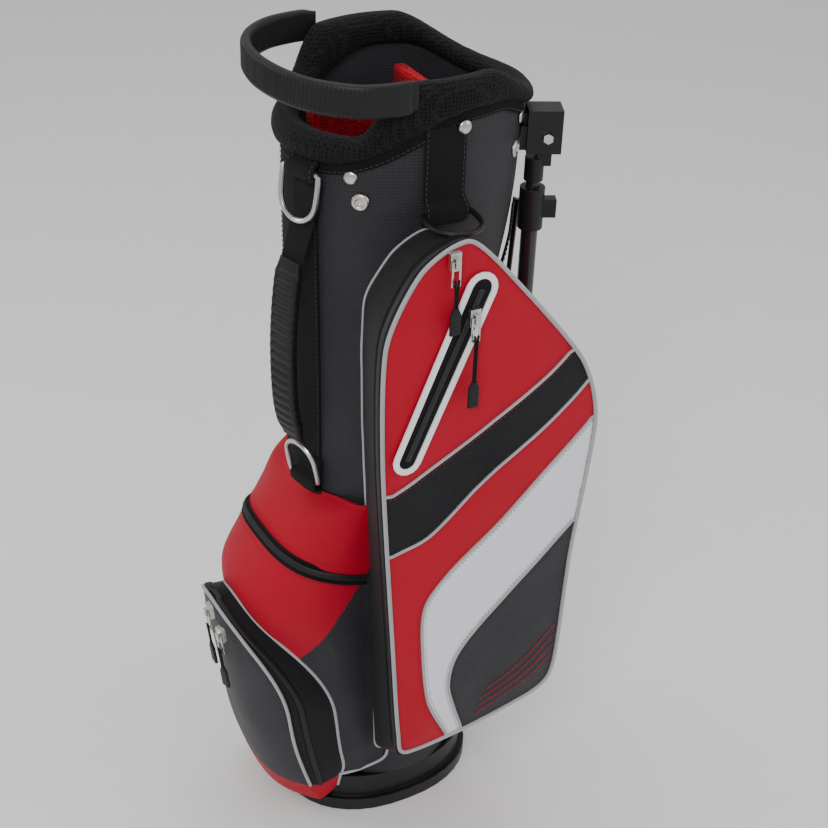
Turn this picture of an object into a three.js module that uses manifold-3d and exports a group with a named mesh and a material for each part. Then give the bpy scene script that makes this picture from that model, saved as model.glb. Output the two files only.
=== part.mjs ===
// Golf stand bag, legs folded, standing on its base.
// Millimetres, +Z up. The origin is on the floor under the middle of the tube.
// -X is the spine side with the carry handle and ball pocket, +X is the leg side,
// and -Y is the front with the big apparel pocket.
import * as THREE from 'three';
import { mergeVertices } from 'three/addons/utils/BufferGeometryUtils.js';
import Module from 'manifold-3d';

// ---- driving dimensions ----
const fitGap = 0.4; // clearance between pieces that touch
const cutGap = 0.6; // more of it where a faceted piece was cut to lie on the round tube
const tubeRadius = 78; // outside of the fabric tube
const tubeWall = 3;
const bagSegments = 48; // facets round the bag

const collarHalfLength = tubeRadius + 19; // the collar's oval, half its length along X
const collarHalfWidth = tubeRadius + 4; // and half its width along Y
const collarShift = 15; // the collar's middle leans to the leg side
const seamLow = 651; // the cuff's seam over the spine, which all that hangs from the collar follows
const seamRise = 43; // how far the seam climbs to the front
const seamDrop = 22; // and how far it falls again over the legs
const flareStart = 400; // the round tube starts to turn oval here
const flareEnd = seamLow - 11;
const flareSteps = 8; // levels in the tube's flared stretch
const rimLow = seamLow + 23; // the cuff's rim at the lifting dip
const rimRise = 46;
const rimDrop = 33;
const cuffBulge = 9; // the padded cuff stands this far outside the tube
const cuffRoll = 15; // and rolls this far inside it

const barHalfWidth = 6; // padded divider bars
const barDepth = 72;
const lengthwiseBarY = 10;
const crosswiseBarX = 45;

const bandHeight = 25; // rubber lift handle
const bandThickness = 7;
const bandAboveRim = 27;
const bandReach = collarHalfLength - collarShift + 25;
const bandHalfWidth = collarHalfWidth + 4;

const baseLength = tubeRadius + 16; // base cup, half its length along X
const baseWidth = tubeRadius + 3;
const baseShift = -2;
const baseLipHeight = 13;
const baseWallInset = 5;
const baseHeight = 38;
const baseFloor = 6;
const baseWall = 3.5;
const baseSquareness = 2.3; // superellipse power of the base's outline

const pocketFace = tubeRadius + 70; // front panel of the apparel pocket, distance from the axis
const pocketBack = 40; // its side walls run this deep, then stop at the tube
const pocketMiddle = 24;
const pocketTaper = 0.58; // width on the tube over width at the front

const stackHalfWidth = 68; // half the ball pocket's width
const shoulderExtra = 3; // the pocket above it is this much wider on each side
const ballCrown = 30; // how much the ball pocket's corners fall back
const shoulderCrown = 26;
const stackGap = 0.5; // between the ball pocket and the pocket behind it

const hingeHeight = seamLow - 3; // leg hinge pins
const legX = collarShift + collarHalfLength; // folded leg, from the tube's axis
const legY = 45;
const legSplay = 25; // each leg swings out this many degrees from +X
const pinOffset = 7.5; // hinge pin outward of the leg's own axis
const pinRadius = 2.2;
const bracketPlate = 6; // thickness of the bracket's curved plate
const upperLegRadius = 5.5;
const lowerLegRadius = 7;
const clampHeight = hingeHeight - 64; // the collar that joins upper leg, lower leg and rod
const clampLength = 36;
const clampRadius = 10.5;
const lugReach = clampRadius + 2.5;
const footTop = 112;
const footBottom = 74;

const leverTip = baseLength + baseShift - 1;
const leverHinge = leverTip - 45; // hinge of the base lever, along X
const leverHalfWidth = 21;
const leverThickness = 6;
const leverFloorGap = 1.2; // the lever hangs this far above the floor
const leverPivotZ = leverFloorGap + leverThickness / 2;
const leverChannel = leverHalfWidth + 3;
const rodRadius = 2.3;
const rodFootX = leverTip - 5;
const rodFootY = 17;
const rodFootZ = leverFloorGap + leverThickness + 6;
// the rod's hooked top stops short of the clamp's lug: this is the linkage's open joint
const rodOpenGap = 2.5;

const ringAngle = 196; // both D-rings and the handle stand on this line of the tube, in degrees
const upperRingZ = seamLow - 7;
const lowerRingZ = upperRingZ - 281;
const ringOffset = 7.5;
const ringTabWidth = 28;
const ringWire = 2.3; // D-ring wire radius
const ringHalfWidth = 19;
const ringDrop = 40;
const lowerRingTrim = 2; // the lower ring is this much smaller
const upperRingTilt = 8; // the rings lean off the bag by these angles, in degrees
const lowerRingTilt = 12;
const towelAngle = 265;
const towelBarZ = seamLow - 34;
const towelBarOffset = 6;
const towelRingHalf = 20.5;
const towelRingDrop = 37;
const towelRingTilt = 88; // this ring lies forward over the pocket's top
const strapThickness = 2;
const spinePanelBottom = lowerRingZ - 11;
const spinePanelTop = seamLow - 2;
const spinePanelThickness = 1;
const overSpine = fitGap + spinePanelThickness + fitGap; // first clear height over the spine panel

const mainZip = { x: -22, z: 611, tabLength: 41 }; // clear of the slanted zip's slider on its way down
const panelZip = { x: -4, z: 562, tabLength: 58 };
const ballZipTabLength = 40;
const tabHalfWidth = 5;
const tabHeight = 20;
const pinReach = 5.3; // a puller turns about a line this far above its panel

const frameTop = [3, 582]; // the slanted zip's two ends, X and Z
const frameBottom = [-55, 446];
const frameTopRadius = 14;
const frameBottomRadius = 12.5;
const frameThickness = 2;
const frameBorder = 5.3;

// ---- finishes ----
const finish = (color, roughness, metalness = 0) =>
  new THREE.MeshStandardMaterial({ color, roughness, metalness });
const ripstop = finish(0x262429, 0.75);
const blackWebbing = finish(0x151416, 0.9);
const blackMesh = finish(0x1a191b, 0.95);
const blackPlastic = finish(0x232225, 0.5);
const blackRubber = finish(0x1b1a1c, 0.7);
const redFabric = finish(0xc8102e, 0.7);
const redMesh = finish(0xc4122c, 0.9);
const whiteTrim = finish(0xe8e8ec, 0.5);
const nickel = finish(0xc8c5be, 0.28, 1);
const blackTube = finish(0x17161a, 0.35, 0.4);

const bag = new THREE.Group();
const wasm = await Module();
wasm.setup();

// ---- small helpers ----
const clamp01 = (t) => Math.min(1, Math.max(0, t));

function ease(from, to, value) {
  const t = clamp01((value - from) / (to - from));
  return t * t * (3 - 2 * t);
}

function tidyGeometry(geometry) {
  const bare = geometry.clone();
  bare.deleteAttribute('normal');
  bare.deleteAttribute('uv');
  return mergeVertices(bare, 1e-4);
}

// turns the faces round if a bent shape came out inside out
function faceOut(geometry) {
  const g = tidyGeometry(geometry);
  const p = g.attributes.position;
  const index = g.index.array;
  const a = new THREE.Vector3();
  const b = new THREE.Vector3();
  const c = new THREE.Vector3();
  let volume = 0;
  for (let i = 0; i < index.length; i += 3) {
    a.fromBufferAttribute(p, index[i]);
    b.fromBufferAttribute(p, index[i + 1]);
    c.fromBufferAttribute(p, index[i + 2]);
    volume += a.dot(b.cross(c));
  }
  if (volume < 0) {
    for (let i = 0; i < index.length; i += 3) {
      [index[i], index[i + 1]] = [index[i + 1], index[i]];
    }
  }
  return g;
}

function toSolid(geometry) {
  const g = faceOut(geometry);
  return new wasm.Manifold(new wasm.Mesh({
    numProp: 3,
    vertProperties: new Float32Array(g.attributes.position.array),
    triVerts: new Uint32Array(g.index.array),
  }));
}

function toGeometry(solid) {
  const mesh = solid.getMesh();
  const g = new THREE.BufferGeometry();
  g.setAttribute('position', new THREE.BufferAttribute(mesh.vertProperties, 3));
  g.setIndex(new THREE.BufferAttribute(mesh.triVerts, 1));
  return g;
}

function subtract(geometry, ...cutters) {
  let solid = toSolid(geometry);
  for (const cutter of cutters) {
    solid = solid.subtract(toSolid(cutter));
  }
  return toGeometry(solid);
}

function join(geometry, ...others) {
  let solid = toSolid(geometry);
  for (const other of others) {
    solid = solid.add(toSolid(other));
  }
  return toGeometry(solid);
}

const keepInside = (geometry, limit) => toGeometry(toSolid(geometry).intersect(toSolid(limit)));

function add(name, geometry, material) {
  const mesh = new THREE.Mesh(faceOut(geometry), material);
  mesh.name = name;
  bag.add(mesh);
  return mesh;
}

function box(x0, x1, y0, y1, z0, z1) {
  const g = new THREE.BoxGeometry(x1 - x0, y1 - y0, z1 - z0);
  return g.translate((x0 + x1) / 2, (y0 + y1) / 2, (z0 + z1) / 2);
}

// a cylinder from one point to another
function rod(from, to, radius, sides = 12, endRadius = radius) {
  const axis = new THREE.Vector3().subVectors(to, from);
  const g = new THREE.CylinderGeometry(endRadius, radius, axis.length(), sides);
  g.applyQuaternion(new THREE.Quaternion().setFromUnitVectors(
    new THREE.Vector3(0, 1, 0), axis.clone().normalize()));
  const middle = new THREE.Vector3().addVectors(from, to).multiplyScalar(0.5);
  return g.translate(middle.x, middle.y, middle.z);
}

// a round wire, or with a width and height a flat strap, along points
function sweep(points, width, height, steps, sides = 8) {
  const section = new THREE.Shape();
  if (height === undefined) {
    for (let i = 0; i < sides; i += 1) {
      const angle = (i * 2 * Math.PI) / sides;
      const x = width * Math.cos(angle);
      const y = width * Math.sin(angle);
      if (i === 0) section.moveTo(x, y);
      else section.lineTo(x, y);
    }
  } else {
    section.moveTo(-width / 2, -height / 2);
    section.lineTo(width / 2, -height / 2);
    section.lineTo(width / 2, height / 2);
    section.lineTo(-width / 2, height / 2);
  }
  return new THREE.ExtrudeGeometry(section, {
    steps,
    bevelEnabled: false,
    extrudePath: new THREE.CatmullRomCurve3(points),
  });
}

const at = (x, y, z) => new THREE.Vector3(x, y, z);

// an outline given in one plane, pulled along the third axis
function slab(points, depth) {
  const shape = new THREE.Shape(points.map(([x, y]) => new THREE.Vector2(x, y)));
  return new THREE.ExtrudeGeometry(shape, { depth, bevelEnabled: false });
}

// outline in X and Z, from y0 to y1
function slabAlongY(points, y0, y1) {
  const g = slab(points, y1 - y0);
  g.rotateX(Math.PI / 2);
  return g.translate(0, y1, 0);
}

function moveVertices(geometry, mover) {
  const g = tidyGeometry(geometry);
  const p = g.attributes.position;
  const v = new THREE.Vector3();
  for (let i = 0; i < p.count; i += 1) {
    v.fromBufferAttribute(p, i);
    mover(v);
    p.setXYZ(i, v.x, v.y, v.z);
  }
  return g;
}

// ---- the bag's own surface ----
const seamHeight = (u) =>
  seamLow + seamRise * ease(-1, 0.15, u) - seamDrop * ease(0.4, 1, u);
const rimHeight = (u) =>
  rimLow + rimRise * ease(-0.75, -0.4, u) - rimDrop * ease(0.3, 1, u);

// a point on the bag's surface, moved outward by offset
function bagPoint(angle, z, offset) {
  const flare = ease(flareStart, flareEnd, z);
  const a = tubeRadius + flare * (collarHalfLength - tubeRadius);
  const b = tubeRadius + flare * (collarHalfWidth - tubeRadius);
  const normal = at(Math.cos(angle) / a, Math.sin(angle) / b, 0).normalize();
  return at(
    collarShift * flare + a * Math.cos(angle) + offset * normal.x,
    b * Math.sin(angle) + offset * normal.y,
    z,
  );
}

// a ring round the bag: the profile's points are [offset, share of the height]
function bagRing(profile, lowOf, highOf, segments = bagSegments) {
  const lead = 100;
  const closed = [...profile, profile[0]];
  const points = closed.map(([offset, share]) => new THREE.Vector2(lead + offset, share));
  return moveVertices(new THREE.LatheGeometry(points, segments), (v) => {
    const angle = Math.atan2(v.z, v.x);
    const offset = Math.hypot(v.x, v.z) - lead;
    const u = Math.cos(angle);
    const z = lowOf(u) + v.y * (highOf(u) - lowOf(u));
    v.copy(bagPoint(angle, z, offset));
  });
}

// everything inside the bag's surface, between two flat heights
function bagCore(offset, z0, z1) {
  const levels = Math.max(2, Math.ceil((z1 - z0) / 25));
  const points = [new THREE.Vector2(0, 0)];
  for (let i = 0; i <= levels; i += 1) {
    points.push(new THREE.Vector2(100, i / levels));
  }
  points.push(new THREE.Vector2(0, 1));
  return moveVertices(new THREE.LatheGeometry(points, bagSegments), (v) => {
    const z = z0 + v.y * (z1 - z0);
    const reach = Math.hypot(v.x, v.z);
    if (reach < 1) v.set(0, 0, z);
    else v.copy(bagPoint(Math.atan2(v.z, v.x), z, offset));
  });
}

// a patch lying on the bag, between two angles in degrees and two heights
function patch(angle0, angle1, z0, z1, offset, thickness, across = 4, up = 4) {
  const g = new THREE.BoxGeometry(1, 1, 1, 1, across, up);
  return moveVertices(g, (v) => {
    const angle = THREE.MathUtils.degToRad(angle0 + (v.y + 0.5) * (angle1 - angle0));
    v.copy(bagPoint(angle, z0 + (v.z + 0.5) * (z1 - z0), offset + (v.x + 0.5) * thickness));
  });
}

// a round fastener cap set on the bag, facing out
function cap(name, angleDegrees, z, radius, height, material, seat = fitGap) {
  const angle = THREE.MathUtils.degToRad(angleDegrees);
  add(name, rod(bagPoint(angle, z, seat), bagPoint(angle, z, seat + height), radius, 10, radius * 0.6),
    material);
}

// ---- tube, cuff and dividers ----
function buildTube() {
  const flareShare = (flareStart - baseHeight) / (seamLow - baseHeight);
  const heights = [0];
  for (let i = 0; i <= flareSteps; i += 1) {
    heights.push(flareShare + ((1 - flareShare) * i) / flareSteps);
  }
  const outside = heights.map((share) => [0, share]);
  const inside = heights.map((share) => [-tubeWall, share]).reverse();
  add('tube_shell', bagRing([...outside, ...inside],
    () => baseHeight + fitGap, (u) => seamHeight(u) - fitGap), ripstop);
  const panel = patch(155, 205, spinePanelBottom, spinePanelTop, fitGap, spinePanelThickness, 6, 12);
  add('spine_panel', panel, blackWebbing);
}

function buildCuff() {
  const profile = [
    [1, 0], [cuffBulge - 2, 0.12], [cuffBulge, 0.45], [cuffBulge - 3, 0.86], [0, 1],
    [-cuffRoll + 5, 0.98], [-cuffRoll, 0.75], [-cuffRoll, 0.35], [-cuffRoll + 5, 0], [-tubeWall, 0],
  ];
  add('top_cuff', bagRing(profile, seamHeight, rimHeight), blackMesh);
}

// padded bars that part the clubs, fitted between the cuff's inner walls
function buildDividers() {
  const barTop = rimLow - 2;
  const barBottom = barTop - barDepth;
  const longEnough = 2 * collarHalfLength;
  const lengthwise = box(-longEnough, longEnough, lengthwiseBarY - barHalfWidth,
    lengthwiseBarY + barHalfWidth, barBottom, barTop);
  const crosswise = box(crosswiseBarX - barHalfWidth, crosswiseBarX + barHalfWidth,
    -longEnough, longEnough, barBottom, barTop);
  const room = bagCore(-cuffRoll - fitGap, barBottom - 1, barTop + 1);
  add('divider_bars', keepInside(join(lengthwise, crosswise), room), redMesh);
}

// the ribbed rubber band that bridges the dip in the cuff
function buildLiftHandle() {
  // half of its route round the dip, as shares of its reach and of its half width
  const half = [[0.187, 1], [0.393, 1], [0.617, 0.919], [0.832, 0.686], [0.953, 0.384], [1, 0]]
    .map(([reach, width]) => [-reach * bandReach, width * bandHalfWidth]);
  const route = [...half, ...half.slice(0, -1).reverse().map(([x, y]) => [x, -y])];
  const line = new THREE.SplineCurve(route.map(([x, y]) => new THREE.Vector2(x, y)));
  const count = 28;
  const outer = [];
  const inner = [];
  for (let i = 0; i <= count; i += 1) {
    const p = line.getPoint(i / count);
    const t = line.getTangent(i / count);
    outer.push([p.x + (t.y * bandThickness) / 2, p.y - (t.x * bandThickness) / 2]);
    inner.push([p.x - (t.y * bandThickness) / 2, p.y + (t.x * bandThickness) / 2]);
  }
  const band = slab([...outer, ...inner.reverse()], bandHeight).translate(0, 0, rimLow + bandAboveRim);
  const grown = [
    [1.5, -0.1], [cuffBulge - 1.5, 0.12], [cuffBulge + 0.5, 0.45], [cuffBulge - 2.5, 0.86], [0.5, 1.02],
    [0.5, 1.6], [-40, 1.6], [-40, -0.1],
  ];
  const cuffRoom = bagRing(grown, seamHeight, rimHeight);
  add('lift_handle', subtract(band, cuffRoom), blackRubber);
}

// ---- base cup, lever and rods ----
function baseOutline(inset, segments = 40) {
  const points = [];
  for (let i = 0; i < segments; i += 1) {
    const angle = (i * 2 * Math.PI) / segments;
    const c = Math.cos(angle);
    const s = Math.sin(angle);
    const power = 2 / baseSquareness;
    points.push([
      baseShift + (baseLength - inset) * Math.sign(c) * Math.abs(c) ** power,
      (baseWidth - inset) * Math.sign(s) * Math.abs(s) ** power,
    ]);
  }
  return points;
}

function buildBase() {
  const lip = slab(baseOutline(0), baseLipHeight);
  const wall = slab(baseOutline(baseWallInset), baseHeight);
  const hollow = slab(baseOutline(baseWallInset + baseWall), baseHeight).translate(0, 0, baseFloor);
  const housing = box(leverHinge - 10, leverTip - 9, -leverChannel - 4, leverChannel + 4, 0, baseHeight - 1);
  const swing = box(leverHinge - 5, leverTip + 20, -leverChannel, leverChannel, -5, 25);
  const rodChase = box(rodFootX - 7, leverTip + 20, -leverChannel, leverChannel, -5, baseHeight + 5);
  const pinHole = rod(at(leverHinge, -leverChannel - 3, leverPivotZ),
    at(leverHinge, leverChannel + 3, leverPivotZ), pinRadius + fitGap, 12);
  const cup = subtract(join(lip, wall), hollow);
  add('base_cup', subtract(join(cup, housing), swing, rodChase, pinHole), blackPlastic);
  add('lever_pin', rod(at(leverHinge, -leverChannel - 2.5, leverPivotZ),
    at(leverHinge, leverChannel + 2.5, leverPivotZ), pinRadius, 12), nickel);
}

function buildLever() {
  const plate = box(leverHinge - 1, leverTip, -leverHalfWidth, leverHalfWidth,
    leverFloorGap, leverFloorGap + leverThickness);
  const barrel = rod(at(leverHinge, -leverHalfWidth, leverPivotZ),
    at(leverHinge, leverHalfWidth, leverPivotZ), leverThickness / 2, 12);
  const ears = [-1, 1].map((side) => {
    const inner = side * (rodFootY - 7);
    const outer = side * (rodFootY - 3);
    return box(rodFootX - 4.5, rodFootX + 4, Math.min(inner, outer), Math.max(inner, outer),
      leverFloorGap + 1, rodFootZ + 5);
  });
  const rodHole = rod(at(rodFootX, -30, rodFootZ), at(rodFootX, 30, rodFootZ), rodRadius + fitGap, 12);
  const pinHole = rod(at(leverHinge, -30, leverPivotZ), at(leverHinge, 30, leverPivotZ),
    pinRadius + fitGap / 2, 12);
  const body = join(plate, barrel, ...ears);
  add('base_lever', subtract(body, rodHole, pinHole), blackPlastic);
}

// the top of a push rod, beside its clamp's lug
const rodHead = (side) => at(legX - 2, side * (legY - lugReach - rodOpenGap - rodRadius), clampHeight);

function buildRod(side, suffix) {
  const head = rodHead(side);
  const foot = at(rodFootX, side * rodFootY, rodFootZ);
  const hook = at(rodFootX, side * (rodFootY - 8.5), rodFootZ);
  const bend = new THREE.SphereGeometry(rodRadius * 1.04, 10, 8).translate(foot.x, foot.y, foot.z);
  const shank = rod(foot, head, rodRadius, 10);
  add(`push_rod_${suffix}`, join(shank, rod(hook, foot, rodRadius, 10), bend), nickel);
}

// ---- legs ----
const splay = THREE.MathUtils.degToRad(legSplay);
// turns a piece drawn along +X, with its origin on the leg's axis, to its own side
function placeLeg(geometry, side) {
  const g = geometry.clone();
  g.rotateZ(side * splay);
  return g.translate(legX, side * legY, 0);
}

function buildBracket() {
  const plate = patch(-30, 30, hingeHeight - 12, hingeHeight + 17, fitGap, bracketPlate, 12, 2);
  const arms = [];
  const slots = [];
  for (const side of [-1, 1]) {
    arms.push(placeLeg(box(-9, 19, -11, 11, hingeHeight - 14, hingeHeight + 22), side));
    arms.push(placeLeg(box(-17, -8, -7, 7, hingeHeight - 12, hingeHeight + 8), side));
    slots.push(placeLeg(box(-0.5, 30, -7, 7, hingeHeight - 20, hingeHeight + 9), side));
    slots.push(placeLeg(box(-30, 30, -8.5, 8.5, hingeHeight - 40, hingeHeight - 13), side));
    slots.push(placeLeg(rod(at(pinOffset, -20, hingeHeight), at(pinOffset, 20, hingeHeight),
      pinRadius + fitGap, 12), side));
  }
  const bagRoom = bagCore(fitGap + cutGap / 2, hingeHeight - 48, hingeHeight + 42);
  add('leg_bracket', subtract(join(plate, ...arms), bagRoom, ...slots), blackPlastic);
}

function buildLeg(side, suffix) {
  const boss = rod(at(pinOffset, -6.5, hingeHeight), at(pinOffset, 6.5, hingeHeight), 7, 16);
  const neck = box(pinOffset - 7, pinOffset + 5, -6.5, 6.5, hingeHeight - 26, hingeHeight);
  const socket = rod(at(0, 0, hingeHeight - 40), at(0, 0, hingeHeight - 20), upperLegRadius + 2.5, 16);
  const bore = rod(at(0, 0, hingeHeight - 41), at(0, 0, hingeHeight - 24), upperLegRadius + fitGap, 16);
  const pinHole = rod(at(pinOffset, -20, hingeHeight), at(pinOffset, 20, hingeHeight),
    pinRadius + fitGap / 2, 12);
  add(`leg_head_${suffix}`, placeLeg(subtract(join(boss, neck, socket), bore, pinHole), side), blackPlastic);

  const shank = rod(at(pinOffset, 10 * side, hingeHeight),
    at(pinOffset, -9.5 * side, hingeHeight), pinRadius);
  const screwHead = rod(at(pinOffset, (11 + fitGap) * side, hingeHeight),
    at(pinOffset, 14.5 * side, hingeHeight), 4.4, 6);
  const screwNeck = rod(at(pinOffset, 9.5 * side, hingeHeight),
    at(pinOffset, 12 * side, hingeHeight), pinRadius);
  add(`hinge_screw_${suffix}`, placeLeg(join(shank, screwNeck, screwHead), side), nickel);

  const upperTop = hingeHeight - 24 - fitGap;
  const clampTop = clampHeight + clampLength / 2;
  const clampBottom = clampHeight - clampLength / 2;
  add(`upper_leg_${suffix}`, placeLeg(rod(at(0, 0, clampHeight + fitGap), at(0, 0, upperTop),
    upperLegRadius, 16), side), blackTube);
  add(`lower_leg_${suffix}`, placeLeg(rod(at(0, 0, footBottom + 12), at(0, 0, clampHeight - 4),
    lowerLegRadius, 16), side), blackTube);

  const body = rod(at(0, 0, clampBottom), at(0, 0, clampTop), clampRadius, 16);
  const ear = box(2, 20, -5, 5, clampHeight - 8, clampHeight + 8);
  const lugEnds = [-4 * side, -lugReach * side];
  const lug = box(-4.5, 4.5, Math.min(...lugEnds), Math.max(...lugEnds), clampHeight - 7, clampHeight + 7);
  const upperBore = rod(at(0, 0, clampHeight), at(0, 0, clampTop + 1), upperLegRadius + fitGap, 16);
  const lowerBore = rod(at(0, 0, clampBottom - 1), at(0, 0, clampHeight - 3.6), lowerLegRadius + fitGap, 16);
  const collar = subtract(join(body, ear, lug), upperBore, lowerBore);
  add(`rod_clamp_${suffix}`, placeLeg(collar, side), blackPlastic);

  const foot = rod(at(0, 0, footBottom), at(0, 0, footTop), 9, 16, 9.8);
  const footBore = rod(at(0, 0, footBottom + 12 - fitGap), at(0, 0, footTop + 1),
    lowerLegRadius + fitGap, 16);
  add(`leg_foot_${suffix}`, placeLeg(subtract(foot, footBore), side), blackRubber);
}

// ---- pockets ----
function smoothOutline(corners, divisions) {
  const shape = new THREE.CatmullRomCurve3(corners.map(([x, z]) => at(x, 0, z)), true, 'catmullrom', 0.35);
  return shape.getPoints(divisions).slice(0, -1).map((p) => [p.x, p.z]);
}

function apparelBody() {
  const corners = [
    [-44, 134], [18, 138], [88, 154], [106, 180], [112, 300], [124, 430], [105, 494],
    [40, 575], [-6, 621], [-46, 604], [-74, 548], [-74, 440], [-60, 255], [-52, 160],
  ];
  const outline = smoothOutline(corners, 44);
  const depth = pocketFace - pocketBack;
  return moveVertices(slabAlongY(outline, -pocketFace, -pocketBack), (v) => {
    const share = (v.y + pocketFace) / depth;
    v.x = pocketMiddle + (v.x - pocketMiddle) * (1 - share * (1 - pocketTaper)) - 8 * share;
    v.z += share * (-90 * ease(320, 130, v.z) + 70 * ease(60, 130, v.x) * ease(330, 460, v.z)
      - 31 * ease(520, 620, v.z));
  });
}

function buildApparelPocket() {
  const tubeRoom = bagCore(fitGap + cutGap, 0, rimLow);
  const towelRoom = box(-16, 38, -collarHalfWidth - 10, -collarHalfWidth + 12, towelBarZ - 37, rimLow);
  const baseRoom = slab(baseOutline(-fitGap), baseHeight + fitGap + 1);
  const ringReach = ringWire + fitGap;
  const swingRoom = 60; // height of the clear space over the towel ring
  const ringRoom = placeOnBag(box(-towelRingHalf - ringReach, towelRingHalf + ringReach,
    -towelRingDrop - ringReach, 0, -ringWire - 4 * fitGap, swingRoom),
  towelAngle, towelBarZ, towelBarOffset);
  const rooms = [tubeRoom, towelRoom, ringRoom, baseRoom];
  add('apparel_pocket', subtract(apparelBody(), ...rooms), redFabric);
}

// profile in X and Z of the pockets on the spine side, X given as a distance from the tube
const outward = (distance) => -tubeRadius - distance;
const seatX = outward(-6);
const shoulder = [
  [outward(-18), 350], [outward(2), 344], [outward(20), 321], [outward(42), 293], [outward(65), 259],
];
const behindBall = [[outward(40), 170], [outward(20), 90], [seatX, 36]];

function stackPlan(reach, crown, halfWidth) {
  const points = [];
  const steps = 8;
  for (let i = -steps; i <= steps; i += 1) {
    const y = (i / steps) * halfWidth;
    points.push([-reach + crown * Math.abs(i / steps) ** 2.4, y]);
  }
  points.push([0, halfWidth], [0, -halfWidth]);
  return points;
}

function buildSpinePockets() {
  const tubeRoom = bagCore(fitGap + cutGap, 0, rimLow);
  const baseRoom = slab(baseOutline(-fitGap), baseHeight + fitGap + 1);
  const pocketProfile = [...shoulder, ...behindBall, [-20, 34], [-20, 350]];
  const shoulderHalf = stackHalfWidth + shoulderExtra;
  const upperPlan = slab(stackPlan(tubeRadius + 68, shoulderCrown, shoulderHalf), 400);
  const stack = keepInside(slabAlongY(pocketProfile, -shoulderHalf, shoulderHalf), upperPlan);
  const frontPocketRoom = apparelBody().translate(-2 * fitGap, 0, 0);
  add('accessory_pocket', subtract(stack, tubeRoom, baseRoom, frontPocketRoom), redFabric);

  const ballBack = [...behindBall].reverse().map(([x, z]) => [x - stackGap, z]);
  const ballProfile = [
    [outward(65) - stackGap, 259], [outward(86), 250], [outward(87), 243], [outward(82), 205],
    [outward(73), 150], [outward(65), 105], [outward(51), 52], [outward(36), 26], [outward(-2), 26],
    ...ballBack,
  ];
  const ballPlan = slab(stackPlan(tubeRadius + 88, ballCrown, stackHalfWidth), 400);
  const ball = keepInside(slabAlongY(ballProfile, -stackHalfWidth, stackHalfWidth), ballPlan);
  const corners = [
    [-stackHalfWidth, 20], [stackHalfWidth, 20], [stackHalfWidth, 150], [52, 215], [26, 250], [0, 266],
    [-26, 250], [-52, 215], [-stackHalfWidth, 150],
  ];
  const arch = slab(corners, 200);
  arch.applyMatrix4(new THREE.Matrix4().makeBasis(at(0, 1, 0), at(0, 0, 1), at(1, 0, 0)));
  arch.translate(-200, 0, 0);
  add('ball_pocket', subtract(keepInside(ball, arch), tubeRoom, baseRoom), ripstop);
}

// ---- zip sliders, pullers and their tabs ----
// each is drawn hanging in front of a panel whose outward direction is "out"
function zipSet(name, top, out, hang, tabLength) {
  const side = new THREE.Vector3().crossVectors(hang, out).normalize();
  const frame = new THREE.Matrix4().makeBasis(side, hang.clone().negate(), out);
  const put = (geometry) => {
    geometry.applyMatrix4(frame);
    return geometry.translate(top.x, top.y, top.z);
  };
  const body = box(-4.5, 4.5, -7, 7, fitGap, 4.4);
  const bridge = box(-1.5, 1.5, -4, 4, 4, 7.5);
  const bridgeHole = box(-3, 3, -2.4, 2.4, 4.4, 6.2);
  add(`${name}_slider`, put(subtract(join(body, bridge), bridgeHole)), nickel);

  const plate = box(-4, 4, -20, 0.6, pinReach - 0.35, pinReach + 0.35);
  // its far edge clears the bridge's top corner as the puller turns
  const bridgeRoom = box(-1.5 - fitGap, 1.5 + fitGap, -5, -0.6, 4, 8);
  const grip = box(-2.2, 2.2, -18, -7, 4, 8);
  add(`${name}_puller`, put(subtract(plate, bridgeRoom, grip)), nickel);

  const cord = box(-1.1, 1.1, -tabLength, -13, 6, 8.2);
  const tab = box(-tabHalfWidth, tabHalfWidth, -tabLength - tabHeight, -tabLength + 1, 5.6, 9);
  add(`${name}_tab`, put(join(cord, tab)), blackRubber);
}

// a slot shape with round ends of two sizes
function slot(topRadius, bottomRadius, y0, y1) {
  const lean = Math.atan2(frameTop[1] - frameBottom[1], frameTop[0] - frameBottom[0]);
  const points = [];
  const arc = ([x, z], radius, start) => {
    for (let i = 0; i <= 8; i += 1) {
      const angle = start + (i * Math.PI) / 8;
      points.push([x + radius * Math.cos(angle), z + radius * Math.sin(angle)]);
    }
  };
  arc(frameTop, topRadius, lean - Math.PI / 2);
  arc(frameBottom, bottomRadius, lean + Math.PI / 2);
  return slabAlongY(points, y0, y1);
}

function buildPanelZip() {
  const back = -pocketFace - fitGap;
  const face = back - frameThickness;
  const outer = slot(frameTopRadius, frameBottomRadius, face, back);
  const inner = slot(frameTopRadius - frameBorder, frameBottomRadius - frameBorder, face - 1, back + 1);
  add('panel_zip_frame', subtract(outer, inner), whiteTrim);
  const border = frameBorder + fitGap;
  const tape = slot(frameTopRadius - border, frameBottomRadius - border, face + 0.8, back);
  add('panel_zip_tape', tape, blackWebbing);
}

function buildZips() {
  const front = at(0, -1, 0);
  const down = at(0, 0, -1);
  zipSet('main_zip', at(mainZip.x, -pocketFace, mainZip.z), front, down, mainZip.tabLength);
  zipSet('panel_zip', at(panelZip.x, -pocketFace - fitGap - frameThickness, panelZip.z), front, down,
    panelZip.tabLength);
  const ballFacing = at(-1, 0, -0.13).normalize();
  const ballSlope = at(0.13, 0, -1).normalize();
  zipSet('ball_zip_left', at(outward(86.5), -8, 238), ballFacing, ballSlope, ballZipTabLength);
  const turned = at(-0.955, -0.27, -0.12).normalize();
  const turnedSlope = ballSlope.clone().sub(turned.clone().multiplyScalar(ballSlope.dot(turned))).normalize();
  zipSet('ball_zip_right', at(outward(85.3), -28, 226), turned, turnedSlope, ballZipTabLength);
}

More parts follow.
